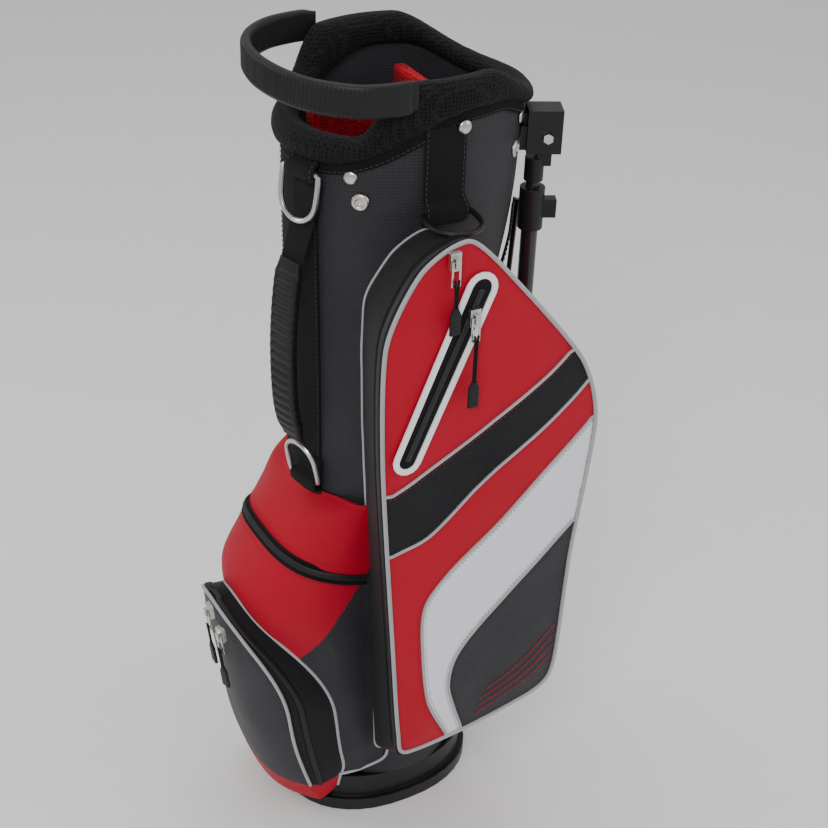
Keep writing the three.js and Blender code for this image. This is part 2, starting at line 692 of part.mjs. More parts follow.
// ---- D-rings, straps and handle ----
// a D of round wire in the plane of X and Z: its straight bar lies on X, with a butt joint
// in the middle of the bar, and the bow hangs down
function dShape(halfWidth, drop, wire) {
  const buttGap = 0.2;
  const corner = 3;
  const bow = [];
  const steps = 8;
  for (let i = 0; i <= steps; i += 1) {
    const angle = (-i * Math.PI) / steps;
    bow.push(at(halfWidth * Math.cos(angle), 0, halfWidth - drop + halfWidth * Math.sin(angle)));
  }
  return sweep([
    at(buttGap, 0, 0), at(halfWidth - corner, 0, 0), at(halfWidth - 0.8, 0, -0.8), at(halfWidth, 0, -corner),
    ...bow,
    at(-halfWidth, 0, -corner), at(0.8 - halfWidth, 0, -0.8), at(corner - halfWidth, 0, 0),
    at(-buttGap, 0, 0),
  ], wire, undefined, 44, 8);
}

// puts a piece drawn with -Y outward at a place on the bag, facing out
function placeOnBag(geometry, angleDegrees, z, offset, tilt = 0) {
  const angle = THREE.MathUtils.degToRad(angleDegrees);
  const spot = bagPoint(angle, z, offset);
  const facing = bagPoint(angle, z, offset + 1).sub(spot);
  geometry.rotateX(THREE.MathUtils.degToRad(-tilt));
  geometry.rotateZ(Math.atan2(facing.y, facing.x) + Math.PI / 2);
  return geometry.translate(spot.x, spot.y, spot.z);
}

function buildRings() {
  const tunnel = () => box(-40, 40, -ringWire - 0.8, ringWire + 0.8, -ringWire - 0.8, ringWire + 0.8);
  const half = ringTabWidth / 2;
  for (const [name, z, footLow, footHigh] of [['upper', upperRingZ, -4, 2], ['lower', lowerRingZ, -10, -4]]) {
    const loop = box(-half, half, -5, 5, -6.5, 5);
    const foot = box(-half, half, -5, ringOffset + 4, footLow, footHigh);
    const tab = subtract(placeOnBag(join(loop, foot), ringAngle, z, ringOffset),
      placeOnBag(tunnel(), ringAngle, z, ringOffset), bagCore(overSpine + 0.2, z - 60, z + 40));
    add(`${name}_ring_tab`, tab, blackWebbing);
  }
  add('upper_d_ring', placeOnBag(dShape(ringHalfWidth, ringDrop, ringWire), ringAngle, upperRingZ,
    ringOffset, upperRingTilt), nickel);
  const lower = dShape(ringHalfWidth - lowerRingTrim, ringDrop - lowerRingTrim, ringWire).rotateX(Math.PI);
  add('lower_d_ring', placeOnBag(lower, ringAngle, lowerRingZ, ringOffset, -lowerRingTilt), nickel);
}

// the handle's pieces are drawn in the plane of X and Z, with X the distance from the tube
function handlePiece(route, width, thickness, steps) {
  const angle = THREE.MathUtils.degToRad(ringAngle);
  const reach = (z) => Math.hypot(bagPoint(angle, z, 0).x, bagPoint(angle, z, 0).y);
  const g = sweep(route.map(([offset, z]) => at(reach(z) + offset, 0, z)), width, thickness, steps);
  return g.rotateZ(THREE.MathUtils.degToRad(ringAngle));
}

function buildHandle() {
  // distance from the tube, and height below the upper ring's bar or above the lower one's
  const below = (points) => points.map(([offset, drop]) => [offset, upperRingZ - drop]);
  const upper = below([[3.2, 12], [3.2, 26], [5, 42], [11, 57], [18, 72]]);
  const grip = below([[18.4, 73], [24, 99], [28, 134], [29, 169], [27, 204], [20, 232]]);
  const lower = [[19.8, lowerRingZ + 48.4], [18.2, lowerRingZ + 45], [17, lowerRingZ + 41.5]];
  add('handle_strap_top', handlePiece(upper, 25, strapThickness, 14), blackWebbing);
  add('handle_grip', handlePiece(grip, 28, 9, 20), blackRubber);
  add('handle_strap_end', handlePiece(lower, 22, 3, 4), blackWebbing);
}

function buildTowelStrap() {
  const foldTop = towelBarZ + 12;
  const foldBottom = towelBarZ - 6;
  const strap = patch(254.5, 275.5, foldTop - 2, rimLow + 6, fitGap, strapThickness, 5, 4);
  const fold = patch(256.5, 273.5, foldBottom, foldTop, fitGap, 11, 4, 2);
  const tunnel = patch(250, 280, foldBottom + 2, foldTop - 2, fitGap + strapThickness, 7, 6, 2);
  add('towel_strap', subtract(join(strap, fold), tunnel), blackWebbing);
  add('towel_ring', placeOnBag(dShape(towelRingHalf, towelRingDrop, ringWire), towelAngle, towelBarZ,
    towelBarOffset, towelRingTilt), blackPlastic);
}

function buildFasteners() {
  // angle round the bag, and height above the low end of the cuff's seam
  const rivets = [[221, -7], [273, 32], [322, 16]];
  const snaps = [[226, -26], [316, -7]];
  for (const [side, suffix] of [[1, 'front'], [-1, 'back']]) {
    rivets.forEach(([angle, z], i) => {
      const overStrap = side > 0 && i === 1;
      const seat = overStrap ? 2 * fitGap + strapThickness + cutGap / 2 : fitGap;
      cap(`rivet_${suffix}_${i + 1}`, angle * side, seamLow + z, 6, 2.2, nickel, seat);
    });
    snaps.forEach(([angle, z], i) => {
      cap(`snap_${suffix}_${i + 1}`, angle * side, seamLow + z, 7.5, 2.6, nickel);
    });
  }
}

// a short strap end beside the legs
function buildLegStrap() {
  const strap = patch(322, 333, clampHeight - 56, clampHeight + 6, fitGap, strapThickness, 2, 4);
  add('leg_strap', strap, blackWebbing);
}

buildTube();
buildCuff();
buildDividers();
buildLiftHandle();
buildBase();
buildLever();
buildBracket();
for (const [side, suffix] of [[-1, 'near'], [1, 'far']]) {
  buildRod(side, suffix);
  buildLeg(side, suffix);
}
buildApparelPocket();
buildSpinePockets();
buildPanelZip();
buildZips();
buildRings();
buildHandle();
buildTowelStrap();
buildFasteners();
buildLegStrap();

export default bag;
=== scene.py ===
# Golf stand bag: fabric, padding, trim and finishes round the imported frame.
# Lengths in this file are millimetres in the part's own frame; meshFrom turns them into metres.
import math

import bmesh
import bpy
import numpy as np
from mathutils import Matrix, Vector
from mathutils.geometry import delaunay_2d_cdt
from mathutils.kdtree import KDTree


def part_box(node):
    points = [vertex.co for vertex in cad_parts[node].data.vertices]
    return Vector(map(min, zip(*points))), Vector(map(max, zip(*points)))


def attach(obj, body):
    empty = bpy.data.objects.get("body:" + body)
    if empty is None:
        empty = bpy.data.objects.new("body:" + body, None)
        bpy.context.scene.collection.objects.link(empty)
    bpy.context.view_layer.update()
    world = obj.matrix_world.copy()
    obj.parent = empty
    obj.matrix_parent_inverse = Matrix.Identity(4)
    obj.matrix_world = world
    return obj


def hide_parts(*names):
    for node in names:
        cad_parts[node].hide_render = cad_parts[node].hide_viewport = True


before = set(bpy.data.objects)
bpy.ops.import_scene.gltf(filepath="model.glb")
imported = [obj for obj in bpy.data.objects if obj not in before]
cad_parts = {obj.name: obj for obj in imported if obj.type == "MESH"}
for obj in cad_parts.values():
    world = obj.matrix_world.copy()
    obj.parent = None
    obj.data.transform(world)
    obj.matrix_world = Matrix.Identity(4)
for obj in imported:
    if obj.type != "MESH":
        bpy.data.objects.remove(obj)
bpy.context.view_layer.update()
mm = 0.001
scene = bpy.context.scene
simFrames = 20
seamThread = {"length": 2.4, "gap": 1.2, "thick": 0.22}


# small tools

def boxOf(name):
    low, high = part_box(name)
    return np.array(low) / mm, np.array(high) / mm


def ease(low, high, value):
    t = np.clip((value - low) / (high - low), 0, 1)
    return t * t * (3 - 2 * t)


def unit(v):
    return v / np.maximum(np.linalg.norm(v, axis=-1, keepdims=True), 1e-9)


def smoothLine(points, step, closed=False, tension=0.5):
    # a smooth line through the points, sampled evenly
    p = np.array(points, float)
    if closed:
        p = np.vstack([p[-1], p, p[0], p[1]])
    else:
        p = np.vstack([2 * p[0] - p[1], p, 2 * p[-1] - p[-2]])
    t = np.linspace(0, 1, 24, endpoint=False)[:, None]
    runs = []
    for before, start, end, after in zip(p[:-3], p[1:-2], p[2:-1], p[3:]):
        leave, arrive = tension * (end - before), tension * (after - start)
        runs.append((2 * t**3 - 3 * t**2 + 1) * start + (t**3 - 2 * t**2 + t) * leave
                    + (3 * t**2 - 2 * t**3) * end + (t**3 - t**2) * arrive)
    runs.append(p[-2][None])
    return evenLine(np.vstack(runs), step)


def evenLine(points, step):
    travel = lengthAlong(points)
    count = max(2, int(round(travel[-1] / step)) + 1)
    places = np.linspace(0, travel[-1], count)
    return np.stack([np.interp(places, travel, column) for column in points.T], -1)


def meshFrom(name, points, faces, materials, cloth=None, faceMaterial=None, body="bag", slot=None):
    mesh = bpy.data.meshes.new(name)
    mesh.from_pydata((np.asarray(points, float) * mm).tolist(), [], [list(map(int, f)) for f in faces])
    mesh.validate()
    if faceMaterial is not None:
        mesh.polygons.foreach_set("material_index", faceMaterial)
    shell = bmesh.new()
    shell.from_mesh(mesh)
    bmesh.ops.recalc_face_normals(shell, faces=shell.faces)
    shell.to_mesh(mesh)
    shell.free()
    piece = bpy.data.objects.new(name, mesh)
    scene.collection.objects.link(piece)
    for material in materials if isinstance(materials, list) else [materials]:
        mesh.materials.append(material)
    mesh.polygons.foreach_set("use_smooth", [True] * len(mesh.polygons))
    if cloth is not None:
        setCloth(piece, cloth)
    if body:
        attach(piece, body)
    return piece


def setCloth(piece, cloth):
    # how far each point lies along the fabric's two directions, for the weave
    mesh = piece.data
    old = mesh.attributes.get("cloth")
    layer = old or mesh.attributes.new("cloth", "FLOAT_VECTOR", "POINT")
    flat = np.zeros((len(mesh.vertices), 3), np.float32)
    flat[:, :2] = cloth
    layer.data.foreach_set("vector", flat.ravel())


def pointsOf(piece):
    flat = np.zeros(len(piece.data.vertices) * 3, np.float32)
    piece.data.vertices.foreach_get("co", flat)
    return flat.reshape(-1, 3).astype(float) / mm


def movePoints(piece, points):
    piece.data.vertices.foreach_set("co", (points * mm).astype(np.float32).ravel())
    piece.data.update()


def gridFaces(rows, columns, closedRows=False, closedColumns=False):
    r = np.arange(rows if closedRows else rows - 1)
    c = np.arange(columns if closedColumns else columns - 1)
    rr, cc = np.meshgrid(r, c, indexing="ij")
    r2, c2 = (rr + 1) % rows, (cc + 1) % columns
    quads = np.stack([rr * columns + cc, rr * columns + c2, r2 * columns + c2, r2 * columns + cc], -1)
    return quads.reshape(-1, 4).tolist()


def gridCloth(points):
    along = np.concatenate([np.zeros((1, points.shape[1])),
                            np.cumsum(np.linalg.norm(np.diff(points, axis=0), axis=2), 0)])
    across = np.concatenate([np.zeros((points.shape[0], 1)),
                             np.cumsum(np.linalg.norm(np.diff(points, axis=1), axis=2), 1)], 1)
    return np.stack([across, along], -1).reshape(-1, 2)


def surface(name, points, material, closedRows=False, closedColumns=False, **rest):
    rows, columns = points.shape[:2]
    faces = gridFaces(rows, columns, closedRows, closedColumns)
    return meshFrom(name, points.reshape(-1, 3), faces, material, gridCloth(points), **rest)


def roundedSection(width, height, radius, perCorner=4):
    ring = []
    corners = [(1, 1, 0), (-1, 1, 90), (-1, -1, 180), (1, -1, 270)]
    for sx, sy, start in corners:
        for i in range(perCorner + 1):
            a = math.radians(start + 90 * i / perCorner)
            ring.append((sx * (width / 2 - radius) + radius * math.cos(a),
                         sy * (height / 2 - radius) + radius * math.sin(a)))
    return np.array(ring)


def circleSection(radius, sides=10):
    a = np.arange(sides) * 2 * math.pi / sides
    return np.stack([radius * np.cos(a), radius * np.sin(a)], -1)


def sweepPoints(path, normal, section, closed=False, shape=None):
    path = np.asarray(path, float)
    if closed:
        tangent = unit(np.roll(path, -1, 0) - np.roll(path, 1, 0))
    else:
        tangent = unit(np.gradient(path, axis=0))
    normal = np.broadcast_to(np.asarray(normal, float), path.shape)
    side = unit(np.cross(tangent, normal))
    up = unit(np.cross(side, tangent))
    ring = np.broadcast_to(section, (len(path),) + section.shape).copy()
    if shape is not None:
        ring = shape(ring)
    return path[:, None] + side[:, None] * ring[..., :1] + up[:, None] * ring[..., 1:]


def sweep(name, path, normal, section, material, closed=False, shape=None, **rest):
    points = sweepPoints(path, normal, section, closed, shape)
    rows, columns = points.shape[:2]
    faces = gridFaces(rows, columns, closed, True)
    if not closed:
        faces.append(list(range(columns)))
        faces.append(list(range((rows - 1) * columns, rows * columns))[::-1])
    return meshFrom(name, points.reshape(-1, 3), faces, material, gridCloth(points), **rest)


def lengthAlong(path):
    return np.concatenate([[0], np.cumsum(np.linalg.norm(np.diff(path, axis=0), axis=1))])


def distanceTo(points, line):
    return np.linalg.norm(points[:, None] - line[None], axis=2).min(1)


def nearestIndex(points, spot):
    return int(np.linalg.norm(points - spot, axis=1).argmin())


def evened(values, width):
    # running mean round a closed loop
    half = width // 2
    looped = np.concatenate([values[-half:], values, values[:half]])
    return np.convolve(looped, np.ones(width) / width, "valid")


def inside(polygon, points):
    # which points lie in a flat outline
    hit = np.zeros(len(points), bool)
    x, y = points[:, 0], points[:, 1]
    for (x0, y0), (x1, y1) in zip(polygon, np.roll(polygon, -1, 0)):
        crosses = (y0 > y) != (y1 > y)
        with np.errstate(divide="ignore", invalid="ignore"):
            hit ^= crosses & (x < (x1 - x0) * (y - y0) / (y1 - y0) + x0)
    return hit


# the bag's own surface, as the frame has it

collarLow, collarHigh = boxOf("tube_shell")
cuffLow, cuffHigh = boxOf("top_cuff")
cupLow, cupHigh = boxOf("base_cup")
bandLow, bandHigh = boxOf("lift_handle")
bag = {
    "tubeRadius": 78,
    "collarHalfLength": (collarHigh[0] - collarLow[0]) / 2,
    "collarHalfWidth": collarHigh[1],
    "collarShift": (collarHigh[0] + collarLow[0]) / 2,
    "flareStart": 400,
    "flareEnd": cuffLow[2] - 11,
    "seamRise": 43,
    "seamDrop": 22,
    "rimRise": 46,
    "rimDrop": 33,
    "rimLow": cuffHigh[2] - 46,
}


def seamHeight(u):
    return cuffLow[2] + bag["seamRise"] * ease(-1, 0.15, u) - bag["seamDrop"] * ease(0.4, 1, u)


def rimHeight(u):
    return bag["rimLow"] + bag["rimRise"] * ease(-0.75, -0.4, u) - bag["rimDrop"] * ease(0.3, 1, u)


def bagPoint(angle, z, offset=0.0):
    angle, z, offset = np.broadcast_arrays(np.asarray(angle, float), z, offset)
    flare = ease(bag["flareStart"], bag["flareEnd"], z)
    a = bag["tubeRadius"] + flare * (bag["collarHalfLength"] - bag["tubeRadius"])
    b = bag["tubeRadius"] + flare * (bag["collarHalfWidth"] - bag["tubeRadius"])
    nx, ny = np.cos(angle) / a, np.sin(angle) / b
    n = np.hypot(nx, ny)
    x = bag["collarShift"] * flare + a * np.cos(angle) + offset * nx / n
    y = b * np.sin(angle) + offset * ny / n
    return np.stack([x, y, z], -1)


def bagNormal(angle, z):
    return unit(bagPoint(angle, z, 1.0) - bagPoint(angle, z, 0.0))


# finishes

def node(tree, kind, settings=None, **inputs):
    made = tree.nodes.new(kind)
    for key, value in (settings or {}).items():
        setattr(made, key, value)
    for key, value in inputs.items():
        socket = made.inputs[int(key[5:])] if key.startswith("input") else made.inputs[key]
        if isinstance(value, bpy.types.NodeSocket):
            tree.links.new(value, socket)
        else:
            socket.default_value = value
    return made


def calc(tree, operation, a, b=0.0):
    return node(tree, "ShaderNodeMath", {"operation": operation}, input0=a, input1=b).outputs[0]


def startMaterial(name, roughness, metallic=0.0, sheen=0.0, coat=0.0, specular=0.5):
    material = bpy.data.materials.new(name)
    material.use_nodes = True
    tree = material.node_tree
    shader = tree.nodes["Principled BSDF"]
    shader.inputs["Roughness"].default_value = roughness
    shader.inputs["Metallic"].default_value = metallic
    shader.inputs["Sheen Weight"].default_value = sheen
    shader.inputs["Sheen Roughness"].default_value = 0.5
    shader.inputs["Coat Weight"].default_value = coat
    shader.inputs["Specular IOR Level"].default_value = specular
    return material, tree, shader


def objectPlace(tree):
    return node(tree, "ShaderNodeTexCoord").outputs["Object"]


def noiseOf(tree, scale, detail=3.0, stretch=None):
    place = objectPlace(tree)
    if stretch:
        scaled = node(tree, "ShaderNodeVectorMath", {"operation": "MULTIPLY"}, input0=place, input1=stretch)
        place = scaled.outputs[0]
    return node(tree, "ShaderNodeTexNoise", None, Vector=place, Scale=scale, Detail=detail).outputs["Fac"]


def blendColours(tree, factor, first, second):
    mix = node(tree, "ShaderNodeMix", {"data_type": "RGBA"}, input0=factor)
    for socket, value in ((mix.inputs[6], first), (mix.inputs[7], second)):
        if isinstance(value, bpy.types.NodeSocket):
            tree.links.new(value, socket)
        else:
            socket.default_value = (*value, 1)
    return mix.outputs[2]


def addBump(tree, shader, height, distance, strength=1.0, under=None):
    bump = node(tree, "ShaderNodeBump", None, Height=height, Strength=strength, Distance=distance * mm)
    if under is not None:
        tree.links.new(under, bump.inputs["Normal"])
    tree.links.new(bump.outputs[0], shader.inputs["Normal"])
    return bump.outputs[0]


def ridges(tree, place, pitch, sharpness):
    wave = calc(tree, "COSINE", calc(tree, "MULTIPLY", place, math.pi / pitch))
    return calc(tree, "POWER", calc(tree, "ABSOLUTE", wave), sharpness)


def wovenFabric(name, colour, light, pitch=0.9, grid=0.0, gridShow=0.25, rough=0.6, sheen=0.2, pucker=0.35,
                shine=0.16):
    # plain weave with fine threads, an optional ripstop grid, and a slow unevenness of tone
    material, tree, shader = startMaterial(name, rough, sheen=sheen, specular=shine)
    place = node(tree, "ShaderNodeAttribute", {"attribute_name": "cloth"}).outputs["Vector"]
    parts = node(tree, "ShaderNodeSeparateXYZ", None, Vector=place)
    u, v = parts.outputs[0], parts.outputs[1]
    threads = calc(tree, "MULTIPLY",
                   calc(tree, "SINE", calc(tree, "MULTIPLY", u, 2 * math.pi / pitch)),
                   calc(tree, "SINE", calc(tree, "MULTIPLY", v, 2 * math.pi / pitch)))
    height = calc(tree, "MULTIPLY", threads, 0.35)
    tone = noiseOf(tree, 14, 4.0)
    fleck = noiseOf(tree, 900, 2.0)
    amount = calc(tree, "ADD", calc(tree, "MULTIPLY", tone, 0.55), calc(tree, "MULTIPLY", fleck, 0.3))
    if grid:
        lines = calc(tree, "MAXIMUM", ridges(tree, u, grid, 30), ridges(tree, v, grid, 30))
        height = calc(tree, "ADD", height, lines)
        amount = calc(tree, "ADD", amount, calc(tree, "MULTIPLY", lines, gridShow))
    amount = calc(tree, "MINIMUM", amount, 1.0)
    tree.links.new(blendColours(tree, amount, colour, light), shader.inputs["Base Color"])
    soft = addBump(tree, shader, noiseOf(tree, 26, 2.0), 3.2, pucker)
    addBump(tree, shader, height, 0.22, 0.8, soft)
    return material


def meshFabric(name, colour, holeShade, cell=3.0):
    # knitted spacer mesh with small open cells; the recessed cell middles are painted darker as painted shade
    material, tree, shader = startMaterial(name, 0.75, sheen=0.02, specular=0.15)
    cells = node(tree, "ShaderNodeTexVoronoi", {"feature": "DISTANCE_TO_EDGE"},
                 Vector=objectPlace(tree), Scale=1000 / cell, Randomness=0.35).outputs["Distance"]
    wall = calc(tree, "MINIMUM", calc(tree, "MULTIPLY", cells, 3.4), 1.0)
    tone = calc(tree, "MULTIPLY", noiseOf(tree, 30), 0.35)
    amount = calc(tree, "MINIMUM", calc(tree, "ADD", wall, tone), 1.0)
    # painted shade: colour darkens from the raised cell walls into the recessed cell middles
    tree.links.new(blendColours(tree, amount, colour, holeShade), shader.inputs["Base Color"])
    addBump(tree, shader, calc(tree, "SUBTRACT", 1.0, wall), 0.7, 0.9)
    return material


def webbingFabric(name, colour, light, rib=1.7):
    material, tree, shader = startMaterial(name, 0.82, sheen=0.02, specular=0.15)
    place = node(tree, "ShaderNodeAttribute", {"attribute_name": "cloth"}).outputs["Vector"]
    parts = node(tree, "ShaderNodeSeparateXYZ", None, Vector=place)
    u, v = parts.outputs[0], parts.outputs[1]
    lengthwise = calc(tree, "SINE", calc(tree, "MULTIPLY", u, 2 * math.pi / rib))
    crosswise = calc(tree, "SINE", calc(tree, "MULTIPLY", v, 2 * math.pi / (rib * 0.7)))
    height = calc(tree, "MULTIPLY", lengthwise, crosswise)
    # painted highlight and shade: raised ribs are coloured lighter and the grooves between them darker,
    # following the bump height
    amount = calc(tree, "MULTIPLY_ADD", height, 0.25)
    amount.node.inputs[2].default_value = 0.4
    tree.links.new(blendColours(tree, amount, colour, light), shader.inputs["Base Color"])
    addBump(tree, shader, height, 0.3, 0.9)
    return material


def grainedSolid(name, colour, light, rough, grain=0.7, depth=0.12, coat=0.0, specular=0.5):
    # moulded plastic or rubber: fine grain, tone that drifts, a little wear in the gloss
    material, tree, shader = startMaterial(name, rough, coat=coat, specular=specular)
    drift = noiseOf(tree, 22, 5.0)
    tree.links.new(blendColours(tree, drift, colour, light), shader.inputs["Base Color"])
    polish = calc(tree, "MULTIPLY_ADD", noiseOf(tree, 70, 4.0), 0.22)
    polish.node.inputs[2].default_value = rough - 0.11
    tree.links.new(polish, shader.inputs["Roughness"])
    addBump(tree, shader, noiseOf(tree, 1000 / grain, 2.0), depth, 0.7)
    return material


def platedMetal(name, colour, rough):
    material, tree, shader = startMaterial(name, rough, metallic=1.0)
    drift = noiseOf(tree, 60, 4.0)
    dull = tuple(c * 0.78 for c in colour)
    tree.links.new(blendColours(tree, drift, dull, colour), shader.inputs["Base Color"])
    scratches = noiseOf(tree, 260, 3.0, (1.0, 1.0, 0.08))
    uneven = calc(tree, "MULTIPLY_ADD", scratches, 0.24)
    uneven.node.inputs[2].default_value = rough - 0.1
    tree.links.new(uneven, shader.inputs["Roughness"])
    addBump(tree, shader, scratches, 0.03, 0.5)
    return material


finishes = {
    "charcoal": wovenFabric("charcoalRipstop", (0.006, 0.0055, 0.008), (0.036, 0.034, 0.042), grid=2.6,
                            gridShow=0.55, rough=0.5, sheen=0.04, shine=0.25),
    "panelBlack": wovenFabric("panelRipstop", (0.004, 0.004, 0.005), (0.014, 0.014, 0.017), grid=4.2,
                              gridShow=0.12, rough=0.55, sheen=0.03),
    "red": wovenFabric("redNylon", (0.36, 0.0, 0.013), (0.52, 0.001, 0.024), 0.8, gridShow=0.0, rough=0.5,
                       sheen=0.03),
    "white": wovenFabric("whiteNylon", (0.72, 0.73, 0.79), (0.86, 0.87, 0.92), grid=4.2,
                         gridShow=0.1, rough=0.5, sheen=0.03),
    "piping": wovenFabric("greyPiping", (0.30, 0.29, 0.31), (0.52, 0.51, 0.53), gridShow=0.0, rough=0.55,
                          pucker=0.1),
    "tape": webbingFabric("zipTape", (0.003, 0.003, 0.0035), (0.012, 0.012, 0.014), 1.0),
    "webbing": webbingFabric("blackWebbing", (0.003, 0.003, 0.0035), (0.018, 0.018, 0.02)),
    "cuff": meshFabric("blackSpacerMesh", (0.014, 0.014, 0.015), (0.001, 0.001, 0.001)),
    "redMesh": meshFabric("redSpacerMesh", (0.62, 0.008, 0.025), (0.16, 0.002, 0.006), 2.6),
    "rubber": grainedSolid("blackRubber", (0.005, 0.005, 0.006), (0.013, 0.013, 0.015), 0.5, 0.6, 0.1,
                           specular=0.28),
    "plastic": grainedSolid("blackPlastic", (0.005, 0.005, 0.006), (0.014, 0.0135, 0.015), 0.4, 0.7, 0.1,
                            specular=0.32),
    "powder": grainedSolid("powderCoat", (0.006, 0.006, 0.007), (0.016, 0.016, 0.018), 0.33, 0.5, 0.05, 0.2),
    "film": grainedSolid("whiteFilm", (0.78, 0.78, 0.80), (0.88, 0.88, 0.9), 0.4, 0.9, 0.04, 0.1),
    "nickel": platedMetal("satinNickel", (0.66, 0.64, 0.60), 0.28),
    "coil": grainedSolid("nylonCoil", (0.004, 0.004, 0.005), (0.015, 0.015, 0.017), 0.38, 0.5, 0.05,
                         specular=0.35),
    "thread": grainedSolid("blackThread", (0.02, 0.02, 0.022), (0.06, 0.06, 0.064), 0.6, 0.4, 0.05),
    "redThread": grainedSolid("redThread", (0.30, 0.003, 0.012), (0.5, 0.01, 0.03), 0.6, 0.4, 0.05),
}
print("finishes made:", len(finishes))


# padding, stitching and strap work

def asMesh(piece):
    # fixes what the modifiers make into the piece's own mesh
    graph = bpy.context.evaluated_depsgraph_get()
    made = bpy.data.meshes.new_from_object(piece.evaluated_get(graph))
    piece.modifiers.clear()
    piece.data = made


def padOut(piece, pressure=4.0, cap=4.0, voxel=0.0, held=None, spare=0.0):
    # fabric swells over its filling: pressure inside the cloth, each point's travel capped
    if voxel:
        remesh = piece.modifiers.new("even", "REMESH")
        remesh.mode = "VOXEL"
        remesh.voxel_size = voxel * mm
        remesh.use_smooth_shade = True
        asMesh(piece)
    rest = pointsOf(piece)
    cloth = piece.modifiers.new("swell", "CLOTH")
    cloth.settings.quality = 4
    cloth.settings.mass = 0.3
    cloth.settings.tension_stiffness = 12
    cloth.settings.compression_stiffness = 12
    cloth.settings.bending_stiffness = 0.8
    cloth.settings.shrink_min = -spare
    cloth.settings.use_pressure = True
    cloth.settings.uniform_pressure_force = pressure
    cloth.settings.effector_weights.gravity = 0
    cloth.collision_settings.use_collision = False
    if held is not None:
        group = piece.vertex_groups.new(name="held")
        for weight in np.unique(np.round(held, 1)):
            if weight > 0:
                group.add(np.flatnonzero(np.round(held, 1) == weight).tolist(), float(weight), "REPLACE")
        cloth.settings.vertex_group_mass = group.name
    for step in range(1, simFrames + 1):
        scene.frame_set(step)
    graph = bpy.context.evaluated_depsgraph_get()
    shaped = piece.evaluated_get(graph)
    flat = np.zeros(len(rest) * 3, np.float32)
    shaped.data.vertices.foreach_get("co", flat)
    travel = flat.reshape(-1, 3).astype(float) / mm - rest
    piece.modifiers.remove(cloth)
    scene.frame_set(1)
    length = np.linalg.norm(travel, axis=1, keepdims=True)
    travel *= np.minimum(1, cap / np.maximum(length, 1e-6))
    movePoints(piece, rest + travel)
    return rest + travel


def refine(piece, levels=1):
    smoothing = piece.modifiers.new("fine", "SUBSURF")
    smoothing.levels = levels
    smoothing.render_levels = levels


def cutAlong(piece, place, normal):
    # a straight seam: splits the faces along a flat plane
    shell = bmesh.new()
    shell.from_mesh(piece.data)
    bmesh.ops.bisect_plane(shell, geom=shell.verts[:] + shell.edges[:] + shell.faces[:],
                           plane_co=Vector(place) * mm, plane_no=Vector(normal))
    shell.to_mesh(piece.data)
    shell.free()


def colourFaces(piece, choose):
    middle = np.array([f.center[:] for f in piece.data.polygons]) / mm
    piece.data.polygons.foreach_set("material_index", choose(middle).astype(np.int32).tolist())


def carried(points, rest, shaped):
    # moves points the way the cloth next to them moved
    away = np.linalg.norm(points[:, None] - rest[None], axis=2)
    weight = 1 / np.maximum(away, 0.5) ** 4
    return points + (weight / weight.sum(1, keepdims=True)) @ (shaped - rest)


def creased(points, out, depth):
    # slow folds that run down the cloth, and short puckers across them
    x, y, z = points.T
    folds = np.sin(x / 17 + y / 13 + 1.3 * np.sin(z / 41)) * np.sin(z / 57 + y / 31)
    tucks = np.sin(z / 9.5 + 1.6 * np.sin((x + y) / 15)) * np.sin((x - y) / 23 + 0.7) ** 2
    return points + out * (depth * (0.7 * folds + 0.35 * tucks))[:, None]


def outOf(points):
    # level, straight away from the bag's middle
    return unit(points * [1, 1, 0])


def piping(name, path, normal, radius, closed=False):
    return sweep(name, path, normal, circleSection(radius), finishes["piping"], closed=closed,
                 slot="white_trim")


def angleOn(point):
    # where round the bag a point stands
    flare = ease(bag["flareStart"], bag["flareEnd"], point[2])
    a = bag["tubeRadius"] + flare * (bag["collarHalfLength"] - bag["tubeRadius"])
    b = bag["tubeRadius"] + flare * (bag["collarHalfWidth"] - bag["tubeRadius"])
    return math.atan2(point[1] / b, (point[0] - bag["collarShift"] * flare) / a)


def stitches(name, path, normal, finish="thread", length=3.0, gap=1.3, thick=0.33):
    # a run of small raised threads along a line
    spots = evenLine(np.asarray(path, float), length + gap)
    if len(spots) < 3:
        return None
    normal = np.asarray(normal, float)
    if normal.ndim == 2:
        share = np.linspace(0, len(normal) - 1, len(spots))
        normal = np.stack([np.interp(share, np.arange(len(normal)), c) for c in normal.T], -1)
    tangent = unit(np.gradient(spots, axis=0))
    up = unit(np.broadcast_to(normal, spots.shape))
    side = unit(np.cross(tangent, up))
    half = length / 2
    lift = 0.15
    rows = [(-half, 0.25), (-half * 0.6, 0.95), (0, 1.1), (half * 0.6, 0.95), (half, 0.25)]
    turn = np.arange(6) * math.pi / 3
    points = np.zeros((len(spots), len(rows), 6, 3))
    for r, (along, size) in enumerate(rows):
        arch = lift + 0.2 * (1 - (along / half) ** 2)
        for k, a in enumerate(turn):
            points[:, r, k] = (spots + tangent * along + up * (arch + thick * size * math.sin(a))
                               + side * thick * size * math.cos(a))
    one = gridFaces(len(rows), 6, False, True) + [[5, 4, 3, 2, 1, 0], [24, 25, 26, 27, 28, 29]]
    faces = [[i + 30 * k for i in face] for k in range(len(spots)) for face in one]
    return meshFrom(name, points.reshape(-1, 3), faces, finishes[finish])


